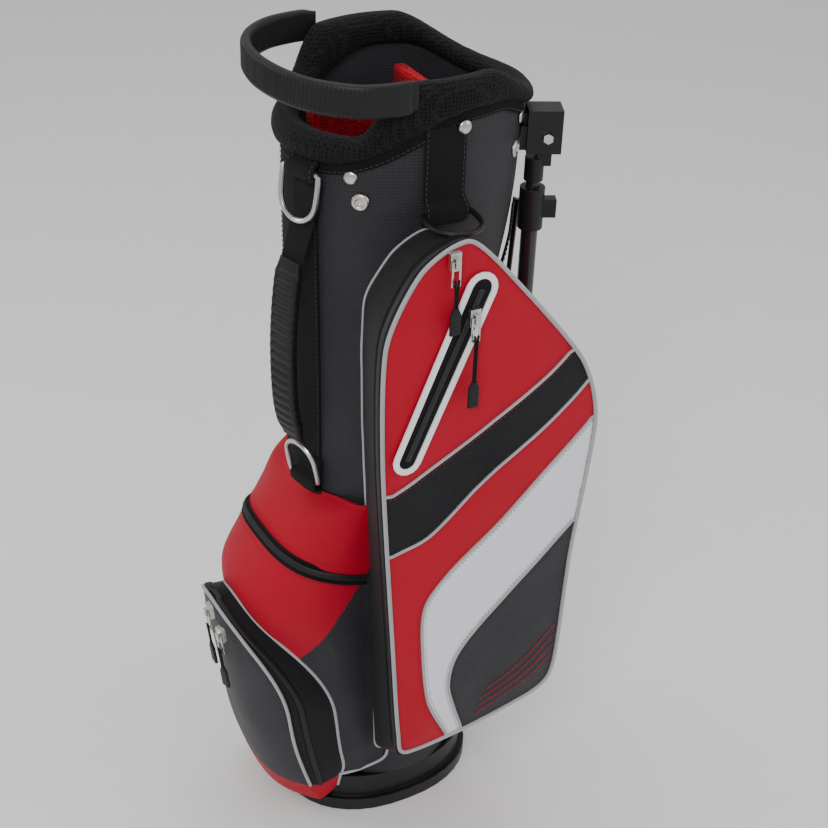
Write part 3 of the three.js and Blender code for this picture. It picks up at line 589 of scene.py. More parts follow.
def strapOnBag(name, centre, halfWidth, profile, thickness, across=10, step=1.5):
    # a strap that follows a line of (distance off the bag, height) and wraps round the bag's curve
    line = smoothLine(profile, step)
    tangent = unit(np.gradient(line, axis=0))
    out = np.stack([-tangent[:, 1], tangent[:, 0]], -1)
    reach = np.linspace(-halfWidth, halfWidth, across + 1)
    angle = math.radians(centre)
    near = bagPoint(angle - 0.01, line[:, 1])
    perRadian = np.linalg.norm(bagPoint(angle + 0.01, line[:, 1]) - near, axis=1) / 0.02
    sheets = []
    for sign in (1, -1):
        edge = thickness / 2 * (1 - 0.35 * np.abs(reach / halfWidth) ** 6)
        offset = line[:, :1] + out[:, :1] * sign * edge
        z = line[:, 1:] + out[:, 1:] * sign * edge
        sheets.append(bagPoint(angle + reach[None] / perRadian[:, None], z, offset))
    points = np.concatenate([sheets[0], sheets[1][:, ::-1]], 1)
    rows, columns = points.shape[:2]
    faces = gridFaces(rows, columns, False, True)
    faces += [list(range(columns)), list(range((rows - 1) * columns, rows * columns))[::-1]]
    travel = lengthAlong(line)
    u = np.concatenate([reach, reach[::-1] + 0.4])
    cloth = np.stack(np.broadcast_arrays(u[None], travel[:, None]), -1).reshape(-1, 2)
    piece = meshFrom(name, points.reshape(-1, 3), faces, finishes["webbing"], cloth, slot="black_webbing")
    for side in (-1, 1):
        a = angle + side * (halfWidth - 2.2) / perRadian
        seam = bagPoint(a, line[:, 1] + out[:, 1] * thickness / 2, line[:, 0] + out[:, 0] * thickness / 2)
        up = bagNormal(a, line[:, 1]) * out[:, :1]
        up[:, 2] = out[:, 1]
        stitches(f"{name}Stitch{'A' if side < 0 else 'B'}", seam, up)
    return piece


def lathe(name, profile, centre, axis, material, turns=28, **rest):
    axis = unit(np.asarray(axis, float))
    first = unit(np.cross(axis, [0.31, 0.17, 0.94]))
    second = np.cross(axis, first)
    a = np.arange(turns) * 2 * math.pi / turns
    ring = first * np.cos(a)[:, None] + second * np.sin(a)[:, None]
    points = np.stack([centre + axis * h + ring * max(r, 0.01) for r, h in profile])
    faces = gridFaces(len(profile), turns, False, True)
    faces += [list(range(turns)), list(range((len(profile) - 1) * turns, len(profile) * turns))[::-1]]
    return meshFrom(name, points.reshape(-1, 3), faces, material, **rest)


def dressNode(name, finish, edge=0.4):
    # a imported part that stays: its own mesh with a finish and softened edges
    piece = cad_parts[name]
    mesh = piece.data
    if "custom_normal" in mesh.attributes:
        mesh.attributes.remove(mesh.attributes["custom_normal"])
    piece.material_slots[0].material = finishes[finish]
    mesh.polygons.foreach_set("use_smooth", [True] * len(mesh.polygons))
    weld = piece.modifiers.new("weld", "WELD")
    weld.merge_threshold = 0.02 * mm
    bevel = piece.modifiers.new("edges", "BEVEL")
    bevel.width = edge * mm
    bevel.segments = 2
    bevel.limit_method = "ANGLE"
    bevel.angle_limit = math.radians(32)
    bevel.harden_normals = True


# camera, light and floor

view = {
    "place": (-0.567, -1.043, 1.133), "back": (-0.424, -0.734, 0.530), "level": -30, "roll": 2.2, "lens": 70,
    "floorHalf": 6000, "worldLight": 0.62, "aim": (0, 0, 0.38),
    "lamps": [("key", (-1.2, -1.5, 1.9), 0.8, 24), ("fill", (1.5, -1.2, 1.2), 1.2, 7),
              ("top", (0.1, 0.4, 2.2), 1.3, 10), ("rim", (-1.4, 1.1, 1.3), 0.8, 6)],
}


def makeStage():
    back = Vector(view["back"]).normalized()
    turn = math.radians(view["level"])
    right = Vector((math.cos(turn), math.sin(turn), 0))
    right = (right - back * right.dot(back)).normalized()
    up = back.cross(right)
    roll = math.radians(view["roll"])
    leanRight = right * math.cos(roll) + up * math.sin(roll)
    leanUp = back.cross(leanRight)
    lens = bpy.data.cameras.new("camera")
    lens.lens = view["lens"]
    lens.sensor_width = 36
    camera = bpy.data.objects.new("camera", lens)
    facing = Matrix((leanRight, leanUp, back)).transposed().to_4x4()
    camera.matrix_world = Matrix.Translation(view["place"]) @ facing
    scene.collection.objects.link(camera)
    scene.camera = camera

    size = view["floorHalf"]
    corners = [(-size, -size, 0), (size, -size, 0), (size, size, 0), (-size, size, 0)]
    pale = grainedSolid("paleFloor", (0.86, 0.86, 0.86), (0.9, 0.9, 0.9), 0.6)
    floor = meshFrom("floor", corners, [(0, 1, 2, 3)], pale, body=None)
    world = bpy.data.worlds.new("studio")
    world.use_nodes = True
    world.node_tree.nodes["Background"].inputs[0].default_value = (1, 1, 1, 1)
    world.node_tree.nodes["Background"].inputs[1].default_value = view["worldLight"]
    scene.world = world
    for name, place, width, power in view["lamps"]:
        data = bpy.data.lights.new(name, "AREA")
        data.shape = "DISK"
        data.size = width
        data.energy = power
        lamp = bpy.data.objects.new(name, data)
        lamp.location = place
        aim = Vector(view["aim"]) - Vector(place)
        lamp.rotation_euler = aim.to_track_quat("-Z", "Y").to_euler()
        scene.collection.objects.link(lamp)


makeStage()
print("stage made")


# fabric tube

tube = {"wall": 3, "rows": 120, "columns": 230, "dent": 1.2}


def makeTube():
    angle = np.linspace(0, 2 * math.pi, tube["columns"], endpoint=False)
    share = np.linspace(0, 1, tube["rows"])[:, None]
    low = cupHigh[2] + 0.4
    z = low + share * (seamHeight(np.cos(angle)) - low)
    slow = np.sin(3 * angle + z / 60) * np.sin(z / 88 + angle)
    creases = np.sin(5 * angle - z / 34 + 1.7) ** 3 + 0.6 * np.sin(9 * angle + z / 21) ** 3
    outer = bagPoint(angle, z, -tube["dent"] * (0.5 + 0.3 * slow + 0.12 * creases))
    inner = bagPoint(angle, z, -tube["wall"])[::-1]
    points = np.concatenate([outer, inner])
    piece = surface("tubeFabric", points, finishes["charcoal"], True, True, slot="ripstop")
    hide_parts("tube_shell")
    panelLow, panelHigh = boxOf("spine_panel")
    line = [(0.9, panelHigh[2]), (0.9, panelLow[2])]
    strap = strapOnBag("spineWebbing", 180, 33, line, 1.0, across=24, step=6)
    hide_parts("spine_panel")


# padded cuff round the mouth

cuff = {
    "profile": [(1, 0), (6.6, 0.1), (8.6, 0.42), (6.6, 0.8), (0, 0.99), (-8.5, 0.97), (-13.6, 0.75),
                (-13.6, 0.3), (-9, 0.02), (-3, 0)],
    "voxel": 4.2, "pressure": 4, "cap": 2.6, "tall": 50, "binding": (9.5, 1.2), "bindingDrop": 3.7,
    "stitchDrop": 6.6,
}


def makeCuff():
    tall = cuff["tall"]
    loop = smoothLine([(o, s * tall) for o, s in cuff["profile"]], 3.2, closed=True)[:-1]
    angle = np.linspace(0, 2 * math.pi, 190, endpoint=False)
    u = np.cos(angle)
    z = seamHeight(u) + loop[:, 1:] / tall * (rimHeight(u) - seamHeight(u))
    points = bagPoint(angle, z, loop[:, :1])
    piece = surface("paddedCuff", points, finishes["cuff"], True, True, slot="black_mesh")
    padOut(piece, cuff["pressure"], cuff["cap"], cuff["voxel"])
    refine(piece)
    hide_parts("top_cuff")
    turn = np.linspace(0, 2 * math.pi, 260)
    low = seamHeight(np.cos(turn))
    edge = bagPoint(turn, low - cuff["bindingDrop"], 0.9)
    section = roundedSection(*cuff["binding"], 0.5)
    sweep("cuffBinding", edge[:-1], bagNormal(turn[:-1], low[:-1]), section, finishes["tape"], closed=True,
          slot="black_webbing")
    stitches("cuffStitch", bagPoint(turn, low - cuff["stitchDrop"], 1.5), bagNormal(turn, low))


# padded dividers

dividers = {"raise": 9, "raiseFrom": 8, "pressure": 5, "cap": 4.5, "voxel": 4.0}


def makeDividers():
    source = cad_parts["divider_bars"]
    mesh = source.data.copy()
    mesh.materials.clear()
    mesh.materials.append(finishes["redMesh"])
    if "custom_normal" in mesh.attributes:
        mesh.attributes.remove(mesh.attributes["custom_normal"])
    piece = bpy.data.objects.new("paddedDividers", mesh)
    scene.collection.objects.link(piece)
    points = pointsOf(piece)
    top = points[:, 2].max()
    points[:, 2] += dividers["raise"] * ease(top - dividers["raiseFrom"], top, points[:, 2])
    movePoints(piece, points)
    weld = piece.modifiers.new("weld", "WELD")
    weld.merge_threshold = 0.02 * mm
    asMesh(piece)
    padOut(piece, dividers["pressure"], dividers["cap"], dividers["voxel"])
    refine(piece)
    piece.data.polygons.foreach_set("use_smooth", [True] * len(piece.data.polygons))
    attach(piece, "bag")
    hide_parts("divider_bars")


# ribbed rubber band over the dip

liftBand = {
    "ribPitch": 3.4, "ribDepth": 1.1, "thickness": 6.6, "plainEnd": 34, "edgeGap": 3.5,
    "tip": 11, "arch": 2.0,
    "route": [(0.187, 1), (0.393, 1), (0.617, 0.919), (0.832, 0.686), (0.953, 0.384), (1, 0)],
}


def bandSection(width, height, radius, perFace):
    ring = roundedSection(width, height, radius)
    return evenLine(np.vstack([ring, ring[:1]]), (2 * width + 2 * height) / perFace)[:-1]


def makeLiftHandle():
    reach = -bandLow[0] - liftBand["edgeGap"]
    width = bandHigh[1] - liftBand["edgeGap"]
    half = liftBand["route"]
    route = [(-r * reach, -w * width) for r, w in half] + [(-r * reach, w * width) for r, w in half[-2::-1]]
    middle = (bandLow[2] + bandHigh[2]) / 2
    path = smoothLine([(x, y, middle) for x, y in route], 0.8)
    path[:, 2] += liftBand["arch"] * np.cos(path[:, 1] / width * math.pi / 2)
    out = unit(np.cross(np.gradient(path, axis=0), [0, 0, -1.0]))
    section = bandSection(bandHigh[2] - bandLow[2], liftBand["thickness"], 1.8, 44)
    travel = lengthAlong(path)
    plain = liftBand["plainEnd"]
    ends = ease(0, 10, travel - plain) * ease(0, 10, travel[-1] - travel - plain)
    rib = (0.5 + 0.5 * np.cos(travel * 2 * math.pi / liftBand["ribPitch"])) ** 0.7
    tip = ease(0, liftBand["tip"], travel) * ease(0, liftBand["tip"], travel[-1] - travel)

    def ribbed(ring):
        height = ring[..., 1]
        face = np.sign(height) * (np.abs(height) > liftBand["thickness"] * 0.42)
        inner = np.abs(ring[..., 0]) < 10.2
        ring[..., 1] += face * inner * (rib * ends)[:, None] * liftBand["ribDepth"]
        ring[..., 1] *= ((1 + 0.12 * (1 - ends)) * (0.3 + 0.7 * tip))[:, None]
        ring[..., 1] -= 1.6 * (1 - tip)[:, None]
        ring[..., 0] *= (0.88 + 0.12 * tip)[:, None]
        return ring

    piece = sweep("liftBand", path, out, section, finishes["rubber"], shape=ribbed, slot="black_rubber")
    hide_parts("lift_handle")


makeTube()
makeCuff()
makeDividers()
makeLiftHandle()
print("tube, cuff, dividers and lift band made")


# apparel pocket on the near side

pocket = {
    "face": -148, "depth": 108, "middle": 24, "taper": 0.42, "tubeGap": 1.4, "cell": 5,
    "outline": [(-44, 134), (18, 138), (88, 154), (106, 180), (112, 300), (124, 430), (105, 494), (40, 575),
                (-6, 621), (-46, 604), (-74, 548), (-74, 440), (-60, 255), (-52, 160)],
    "bandTop": [(-78, 408), (-69, 412), (4, 449), (38, 469), (93, 505), (110, 517)],
    "bandLow": [(-76, 349), (-60, 355), (-32, 366), (7, 399), (41, 422), (76, 445), (112, 472), (130, 486)],
    "sweepTop": [(134, 447), (126, 440), (94, 414), (35, 362), (-8, 328), (-31, 298), (-34, 262), (-26, 189),
                 (-4, 140), (0, 130)],
    "sweepLow": [(128, 344), (118, 338), (91, 319), (25, 263), (-1, 230), (-6, 195), (11, 143), (15, 132)],
    "pipe": 1.8, "tubePipe": 1.5, "seamPipe": 1.4, "pressure": 3.0, "cap": 4.5, "crease": 0.8,
    "rimFall": 2.6, "fallOver": 16, "belly": 2.2, "wallRows": 16, "seamDip": 1.0, "zipMargin": 6,
}


def pocketWall(x, z, share):
    # the side wall narrows and drops towards the tube
    x = pocket["middle"] + (x - pocket["middle"]) * (1 - pocket["taper"] * share) - 8 * share
    drop = -90 * ease(320, 130, z) + 70 * ease(60, 130, x) * ease(330, 460, z) - 31 * ease(520, 620, z)
    ringRoom = boxOf("towel_ring")[0][2] - 3.4
    z = z + share * drop
    return x, z - ease(0.1, 0.3, share) * np.maximum(0, z - ringRoom)


def withinTube(points, gap):
    flare = ease(bag["flareStart"], bag["flareEnd"], points[..., 2])
    a = bag["tubeRadius"] + flare * (bag["collarHalfLength"] - bag["tubeRadius"]) + gap
    b = bag["tubeRadius"] + flare * (bag["collarHalfWidth"] - bag["tubeRadius"]) + gap
    return ((points[..., 0] - bag["collarShift"] * flare) / a) ** 2 + (points[..., 1] / b) ** 2 < 1


def nearestOnTube(points, gap):
    angle = np.array([angleOn(p) for p in points])
    return bagPoint(angle, points[:, 2], gap)


def panelSeam(name, edge):
    # a seam line across the panel, ending on two of the outline's own points
    line = smoothLine(pocket[name], 4.5, tension=0.4)
    return line[inside(edge, line) & (distanceTo(line, edge) > 3.2)]


def pocketPanel(edge, seams):
    # flat mesh of the front panel, with every seam running along mesh edges
    low, high = edge.min(0), edge.max(0)
    cell = pocket["cell"]
    grid = []
    for row, z in enumerate(np.arange(low[1], high[1], cell * 0.866)):
        for x in np.arange(low[0] + (row % 2) * cell / 2, high[0], cell):
            grid.append((x, z))
    grid = np.array(grid)
    lines = np.vstack([edge] + list(seams.values()))
    grid = grid[inside(edge, grid) & (distanceTo(grid, lines) > cell * 0.55)]
    points = np.vstack([lines, grid])
    count = len(edge)
    links = [(i, (i + 1) % count) for i in range(count)]
    start = count
    for line in seams.values():
        own = list(range(start, start + len(line)))
        ends = [nearestIndex(edge, line[k]) for k in (0, -1)]
        chain = [ends[0]] + own + [ends[1]]
        links += list(zip(chain[:-1], chain[1:]))
        start += len(line)
    made = delaunay_2d_cdt([Vector(p) for p in points], links, [], 0, 1e-4)
    flat = np.array([v[:] for v in made[0]])
    faces = [f for f in made[2] if len(f) == 3]
    middle = np.array([flat[f].mean(0) for f in faces])
    keep = inside(edge, middle)
    back = {}
    for new, olds in enumerate(made[3]):
        for old in olds:
            back[old] = new
    return flat, [f for f, k in zip(faces, keep) if k], middle[keep], [back[i] for i in range(count)]


def makeApparelPocket():
    edge = smoothLine(pocket["outline"], 4, closed=True, tension=0.35)[:-1]
    seams = {name: panelSeam(name, edge) for name in ("bandTop", "bandLow", "sweepTop", "sweepLow")}
    flat, faces, middle, rim = pocketPanel(edge, seams)
    fall = pocket["rimFall"] * (1 - ease(0, pocket["fallOver"], distanceTo(flat, edge)))
    front = np.stack([flat[:, 0], pocket["face"] + fall + 0.6, flat[:, 1]], -1)

    whole = {name: smoothLine(pocket[name], 4.5, tension=0.4) for name in seams}
    band = np.vstack([whole["bandTop"], whole["bandLow"][::-1]])
    swoosh = np.vstack([whole["sweepTop"], whole["sweepLow"][::-1]])
    lowCorner = np.vstack([whole["sweepLow"], [(160, 100), (160, 344)]])
    kind = np.select([inside(shape, middle) for shape in (band, swoosh, lowCorner)], [1, 2, 3], 0)

    # side wall, from the panel's edge to the tube
    shares = np.linspace(0, 1, 101)
    x, z = pocketWall(edge[None, :, 0], edge[None, :, 1], shares[:, None])
    rimDepth = pocket["face"] + pocket["rimFall"]
    dense = np.stack([x, rimDepth + pocket["depth"] * shares[:, None] + 0 * x, z], -1)
    met = withinTube(dense, pocket["tubeGap"])
    last = np.where(met.any(0), met.argmax(0), 100) / 100
    across = np.linspace(0, 1, pocket["wallRows"] + 1)[1:]
    steps = across[:, None] * evened(last, 5)[None]
    x, z = pocketWall(edge[None, :, 0], edge[None, :, 1], steps)
    wall = np.stack([x, rimDepth + pocket["depth"] * steps, z], -1)
    belly = np.abs(np.sin(math.pi * across)) ** 0.8
    away = unit(np.stack([edge[:, 0] - 20, 0 * edge[:, 0], (edge[:, 1] - 370) * 0.3], -1))
    wall += pocket["belly"] * belly[:, None, None] * away
    wall[-1] = nearestOnTube(wall[-1], pocket["tubeGap"])
    rows, columns = wall.shape[:2]
    start = len(front)
    points = np.vstack([front, wall.reshape(-1, 3)])
    ring = np.vstack([rim, start + np.arange(rows * columns).reshape(rows, columns)])
    dark = (edge[:, 0] < -4) & (edge[:, 1] > 138)
    sides = []
    for r in range(rows):
        for c in range(columns):
            d = (c + 1) % columns
            sides.append([ring[r, c], ring[r, d], ring[r + 1, d], ring[r + 1, c]])
            kind = np.append(kind, 1 if dark[c] else 0)
    cloth = np.vstack([flat, np.stack([np.tile(edge[:, 1] + edge[:, 0], rows),
                                       np.repeat(np.arange(rows) * 6.0, columns)], -1)])
    colours = [finishes[name] for name in ("red", "panelBlack", "white", "charcoal")]
    piece = meshFrom("apparelPocket", points, faces + sides, colours, cloth, kind.tolist(), slot="red_fabric")
    rest = pointsOf(piece)
    zipLow, zipHigh = boxOf("panel_zip_frame")
    held = np.zeros(len(rest))
    held[ring[-1]] = 1
    held[ring[0]] = 0.9
    margin = pocket["zipMargin"]
    under = rest[:, 1] < pocket["face"] + 3
    for k in (0, 2):
        under &= (rest[:, k] > zipLow[k] - margin) & (rest[:, k] < zipHigh[k] + margin)
    held[under & (held == 0)] = 1
    shaped = padOut(piece, pocket["pressure"], pocket["cap"], held=held)
    near = np.minimum(1, distanceTo(shaped[:, ::2], edge) / 20)
    loose = np.where(held > 0, 0, near)
    shaped = creased(shaped, np.array([0, -1.0, 0]) * loose[:, None], pocket["crease"])
    zipFace = zipHigh[1] + 0.5
    shaped[under, 1] = np.maximum(shaped[under, 1], zipFace)
    ringLow = boxOf("towel_ring")[0]
    under = (shaped[:, 1] > ringLow[1] - 6) & (shaped[:, 0] > ringLow[0] - 4)
    under &= shaped[:, 0] < ringLow[0] + 52
    shaped[under, 2] = np.minimum(shaped[under, 2], ringLow[2] - 1.0)
    seamPoints = {}
    tree = KDTree(len(flat))
    for i, p in enumerate(flat):
        tree.insert((p[0], p[1], 0), i)
    tree.balance()
    for name, line in seams.items():
        picks = [tree.find((p[0], p[1], 0))[1] for p in line]
        ends = [nearestIndex(edge, line[k]) for k in (0, -1)]
        picks = [rim[ends[0]]] + picks + [rim[ends[1]]]
        shaped[picks[1:-1], 1] += pocket["seamDip"]
        seamPoints[name] = shaped[picks]
    movePoints(piece, shaped)
    refine(piece)
    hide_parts("apparel_pocket")

    outline = smoothLine(shaped[ring[0]], 2, closed=True)[:-1]
    piping("pocketPiping", outline - [0, 0.5, 0], (0, -1, 0), pocket["pipe"], True)
    tubeSide = smoothLine(shaped[ring[-1]], 2, closed=True)[:-1]
    piping("pocketTubePiping", tubeSide, (0, -1, 0), pocket["tubePipe"], True)
    for name, line in seamPoints.items():
        path = smoothLine(line, 2)
        piping(name + "Piping", path - [0, 0.6, 0], (0, -1, 0), pocket["seamPipe"])
        for side in (-1, 1):
            run = path + side * 3.2 * unit(np.cross(np.gradient(path, axis=0), [0, 1, 0])) - [0, 0.75, 0]
            mark, finish = ("A", "redThread") if side < 0 else ("B", "thread")
            stitches(f"{name}Stitch{mark}", run[3:-3], (0, -1, 0), finish, **seamThread)

    # zip round the spine side of the pocket, just behind the front seam
    first = next(i for i in range(columns) if dark[i] and not dark[i - 1])
    order = [(first + i) % columns for i in range(int(dark.sum()))]
    track = smoothLine(shaped[ring[2]][order], 0.45)
    outward = unit(np.stack([track[:, 0] - 20, 0 * track[:, 0], (track[:, 2] - 420) * 0.55], -1))
    zipRun("pocketZip", track + outward * 0.6, outward)
    flatLines(flat, shaped[:len(flat)], edge)


def zipRun(name, path, normal, width=5.2, tape=15):
    # coil with its teeth, on a woven tape
    travel = lengthAlong(path)
    tooth = 0.5 + 0.5 * np.cos(travel * 2 * math.pi / 1.8)

    def toothed(ring):
        ring[..., 0] *= (1 + 0.16 * tooth)[:, None]
        ring[..., 1] *= (0.75 + 0.45 * tooth)[:, None]
        return ring

    sweep(name + "Coil", path, normal, roundedSection(width, 1.8, 0.8, 2), finishes["coil"], shape=toothed,
          slot="black_plastic")
    if tape:
        out = np.broadcast_to(normal, path.shape)[::4]
        sweep(name + "Tape", path[::4] - out * 0.5, out, roundedSection(tape, 0.5, 0.2, 1), finishes["tape"],
              slot="black_webbing")


def flatLines(flat, shaped, edge):
    # a few thin raised lines low on the panel
    for k in range(4):
        ends = [(24 + 3 * k, 152 + 9 * k), (62, 168 + 9 * k), (106, 194 + 11 * k)]
        line = smoothLine(ends, 2)
        line = line[inside(edge, line) & (distanceTo(line, edge) > 5)]
        spread = np.linalg.norm(line[:, None] - flat[None], axis=2)
        weight = 1 / np.maximum(spread, 0.5) ** 3
        depth = (weight * shaped[:, 1]).sum(1) / weight.sum(1)
        path = np.stack([line[:, 0], depth - 0.5, line[:, 1]], -1)
        sweep(f"trimLine{k + 1}", path, (0, -1, 0), roundedSection(0.55, 0.45, 0.18, 2), finishes["red"],
              slot="red_fabric")


# slanted zip's welded frame and tape stay as packed; its coil lies on them

def makePanelZip():
    dressNode("panel_zip_frame", "film", 0.5)
    dressNode("panel_zip_tape", "tape", 0.2)
    low, high = boxOf("panel_zip_tape")
    half = 8.0
    top = np.array([high[0] - half, low[1] - 0.25, high[2] - half])
    foot = np.array([low[0] + half - 1.5, low[1] - 0.25, low[2] + half - 1])
    zipRun("panelZip", evenLine(np.array([foot, top]), 0.45), np.array([0, -1.0, 0]), width=4.6, tape=0)


makeApparelPocket()
makePanelZip()
print("apparel pocket and its zips made")


# pockets on the spine side

spinePocket = {
    "seat": 38, "halfWidth": 71, "power": 2 / 3, "low": 39, "high": 351, "sideRise": 13,
    "reach": [(36, 76), (62, 88), (90, 98), (170, 118), (225, 137), (258, 142), (293, 120), (321, 98),
              (342, 82), (352, 60)],
    "redSlope": 1.5, "redHeight": 353, "zipHeight": 301, "zipDrop": 26, "zipStitch": 8.2,
    "footRise": [(-30, -72, 56), (-24, -74, 63), (-23, -74, 74), (-25, -74, 88)],
    "pressure": 2.5, "cap": 3.5, "crease": 1.5,
}
ballPocket = {
    "low": 25, "shoulder": 137, "high": 247, "halfWidth": 66, "sideFall": 30, "redTop": 46,
    "pressure": 3.5, "cap": 4.5, "crease": 1.0, "pipe": 1.6, "wallRows": 10,
    "reach": [(25, 119), (52, 129), (86, 139), (114, 145), (164, 152), (190, 156), (216, 160), (247, 163)],
}


def reachAt(pocketPlan, z):
    line = smoothLine(pocketPlan["reach"], 2, tension=0.4)
    return np.interp(z, line[:, 0], line[:, 1])


def spineSkin(theta, z):
    theta, z = np.broadcast_arrays(theta, z)
    seat, power = spinePocket["seat"], spinePocket["power"]
    x = -seat - (reachAt(spinePocket, z) - seat) * np.abs(np.cos(theta)) ** power
    y = spinePocket["halfWidth"] * np.sign(np.sin(theta)) * np.abs(np.sin(theta)) ** power
    points = np.stack([x, y, z], -1)
    flat = points.reshape(-1, 3)
    low = withinTube(flat, 1.2)
    flat[low] = nearestOnTube(flat[low], 1.2)
    return flat.reshape(points.shape)


def makeSpinePocket():
    theta = np.linspace(-math.pi / 2, math.pi / 2, 75)
    share = np.linspace(0, 1, 66)[:, None]
    low = spinePocket["low"] + spinePocket["sideRise"] * np.abs(np.sin(theta)) ** 3
    z = low + share * (spinePocket["high"] - low)
    body = spineSkin(theta, z)
    edges = []
    for side in (0, -1):
        tight = nearestOnTube(body[:, side], 0.9)
        turn = np.array([angleOn(p) for p in tight]) + (0.15 if side == 0 else -0.15)
        edges.append(bagPoint(turn, tight[:, 2], 0.9)[:, None])
    points = np.concatenate([edges[0], body, edges[1]], 1)
    piece = surface("accessoryPocket", points, [finishes["red"], finishes["charcoal"]], slot="red_fabric")
    slope, height = spinePocket["redSlope"], spinePocket["redHeight"]
    cutAlong(piece, (0, 0, height), (-slope, 0, 1))
    colourFaces(piece, lambda m: m[:, 2] < height + slope * m[:, 0])
    rest = pointsOf(piece)
    rim = (np.abs(rest[:, 2] - spinePocket["high"]) < 3) | (rest[:, 0] > -spinePocket["seat"] - 1)
    rim |= rest[:, 2] < spinePocket["low"] + 5
    held = np.where(rim | withinTube(rest, 2.2), 1.0, 0.0)
    shaped = padOut(piece, spinePocket["pressure"], spinePocket["cap"], held=held)
    zipZ = spinePocket["zipHeight"] - spinePocket["zipDrop"] * np.clip((118 + rest[:, 0]) / 80, 0, 1)
    loose = (1 - held) * ease(7, 24, np.abs(rest[:, 2] - zipZ))
    shaped = creased(shaped, outOf(shaped) * loose[:, None], spinePocket["crease"])
    movePoints(piece, shaped)
    refine(piece)
    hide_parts("accessory_pocket")

    turn = np.linspace(-1.54, 1.54, 700)
    fall = 1 - np.abs(np.cos(turn)) ** spinePocket["power"]
    height = spinePocket["zipHeight"] - spinePocket["zipDrop"] * fall
    track = evenLine(carried(spineSkin(turn, height), rest, shaped), 0.45)
    out = unit(outOf(track) + [0, 0, 0.55])
    zipRun("accessoryZip", track + out * 1.3, out, width=5.2, tape=13)
    for mark, lift in (("A", spinePocket["zipStitch"]), ("B", -spinePocket["zipStitch"])):
        seam = evenLine(carried(spineSkin(turn, height + lift), rest, shaped), 2)
        out = outOf(seam)
        stitches("accessoryZipStitch" + mark, seam + out * 0.5, out, "redThread", **seamThread)
    rise = nearestOnTube(np.array(spinePocket["footRise"], float), 1.2)
    foot = points[0]
    if foot[0, 1] > 0:
        foot = foot[::-1]
    foot = smoothLine(np.vstack([rise[::-1], foot[3::4]]), 2)
    piping("accessoryFootPiping", foot + outOf(foot) * 0.6, outOf(foot), 1.4)
    top = smoothLine(spineSkin(np.linspace(-1.45, 1.45, 60), spinePocket["high"] - 1.5), 2)
    out = outOf(top)
    sweep("accessoryTopBinding", top + out * 0.5, out, roundedSection(5, 1.2, 0.5), finishes["red"],
          slot="red_fabric")
    stitches("accessoryTopStitch", top + out * 1.1, out, "redThread", **seamThread)
    return rest, shaped


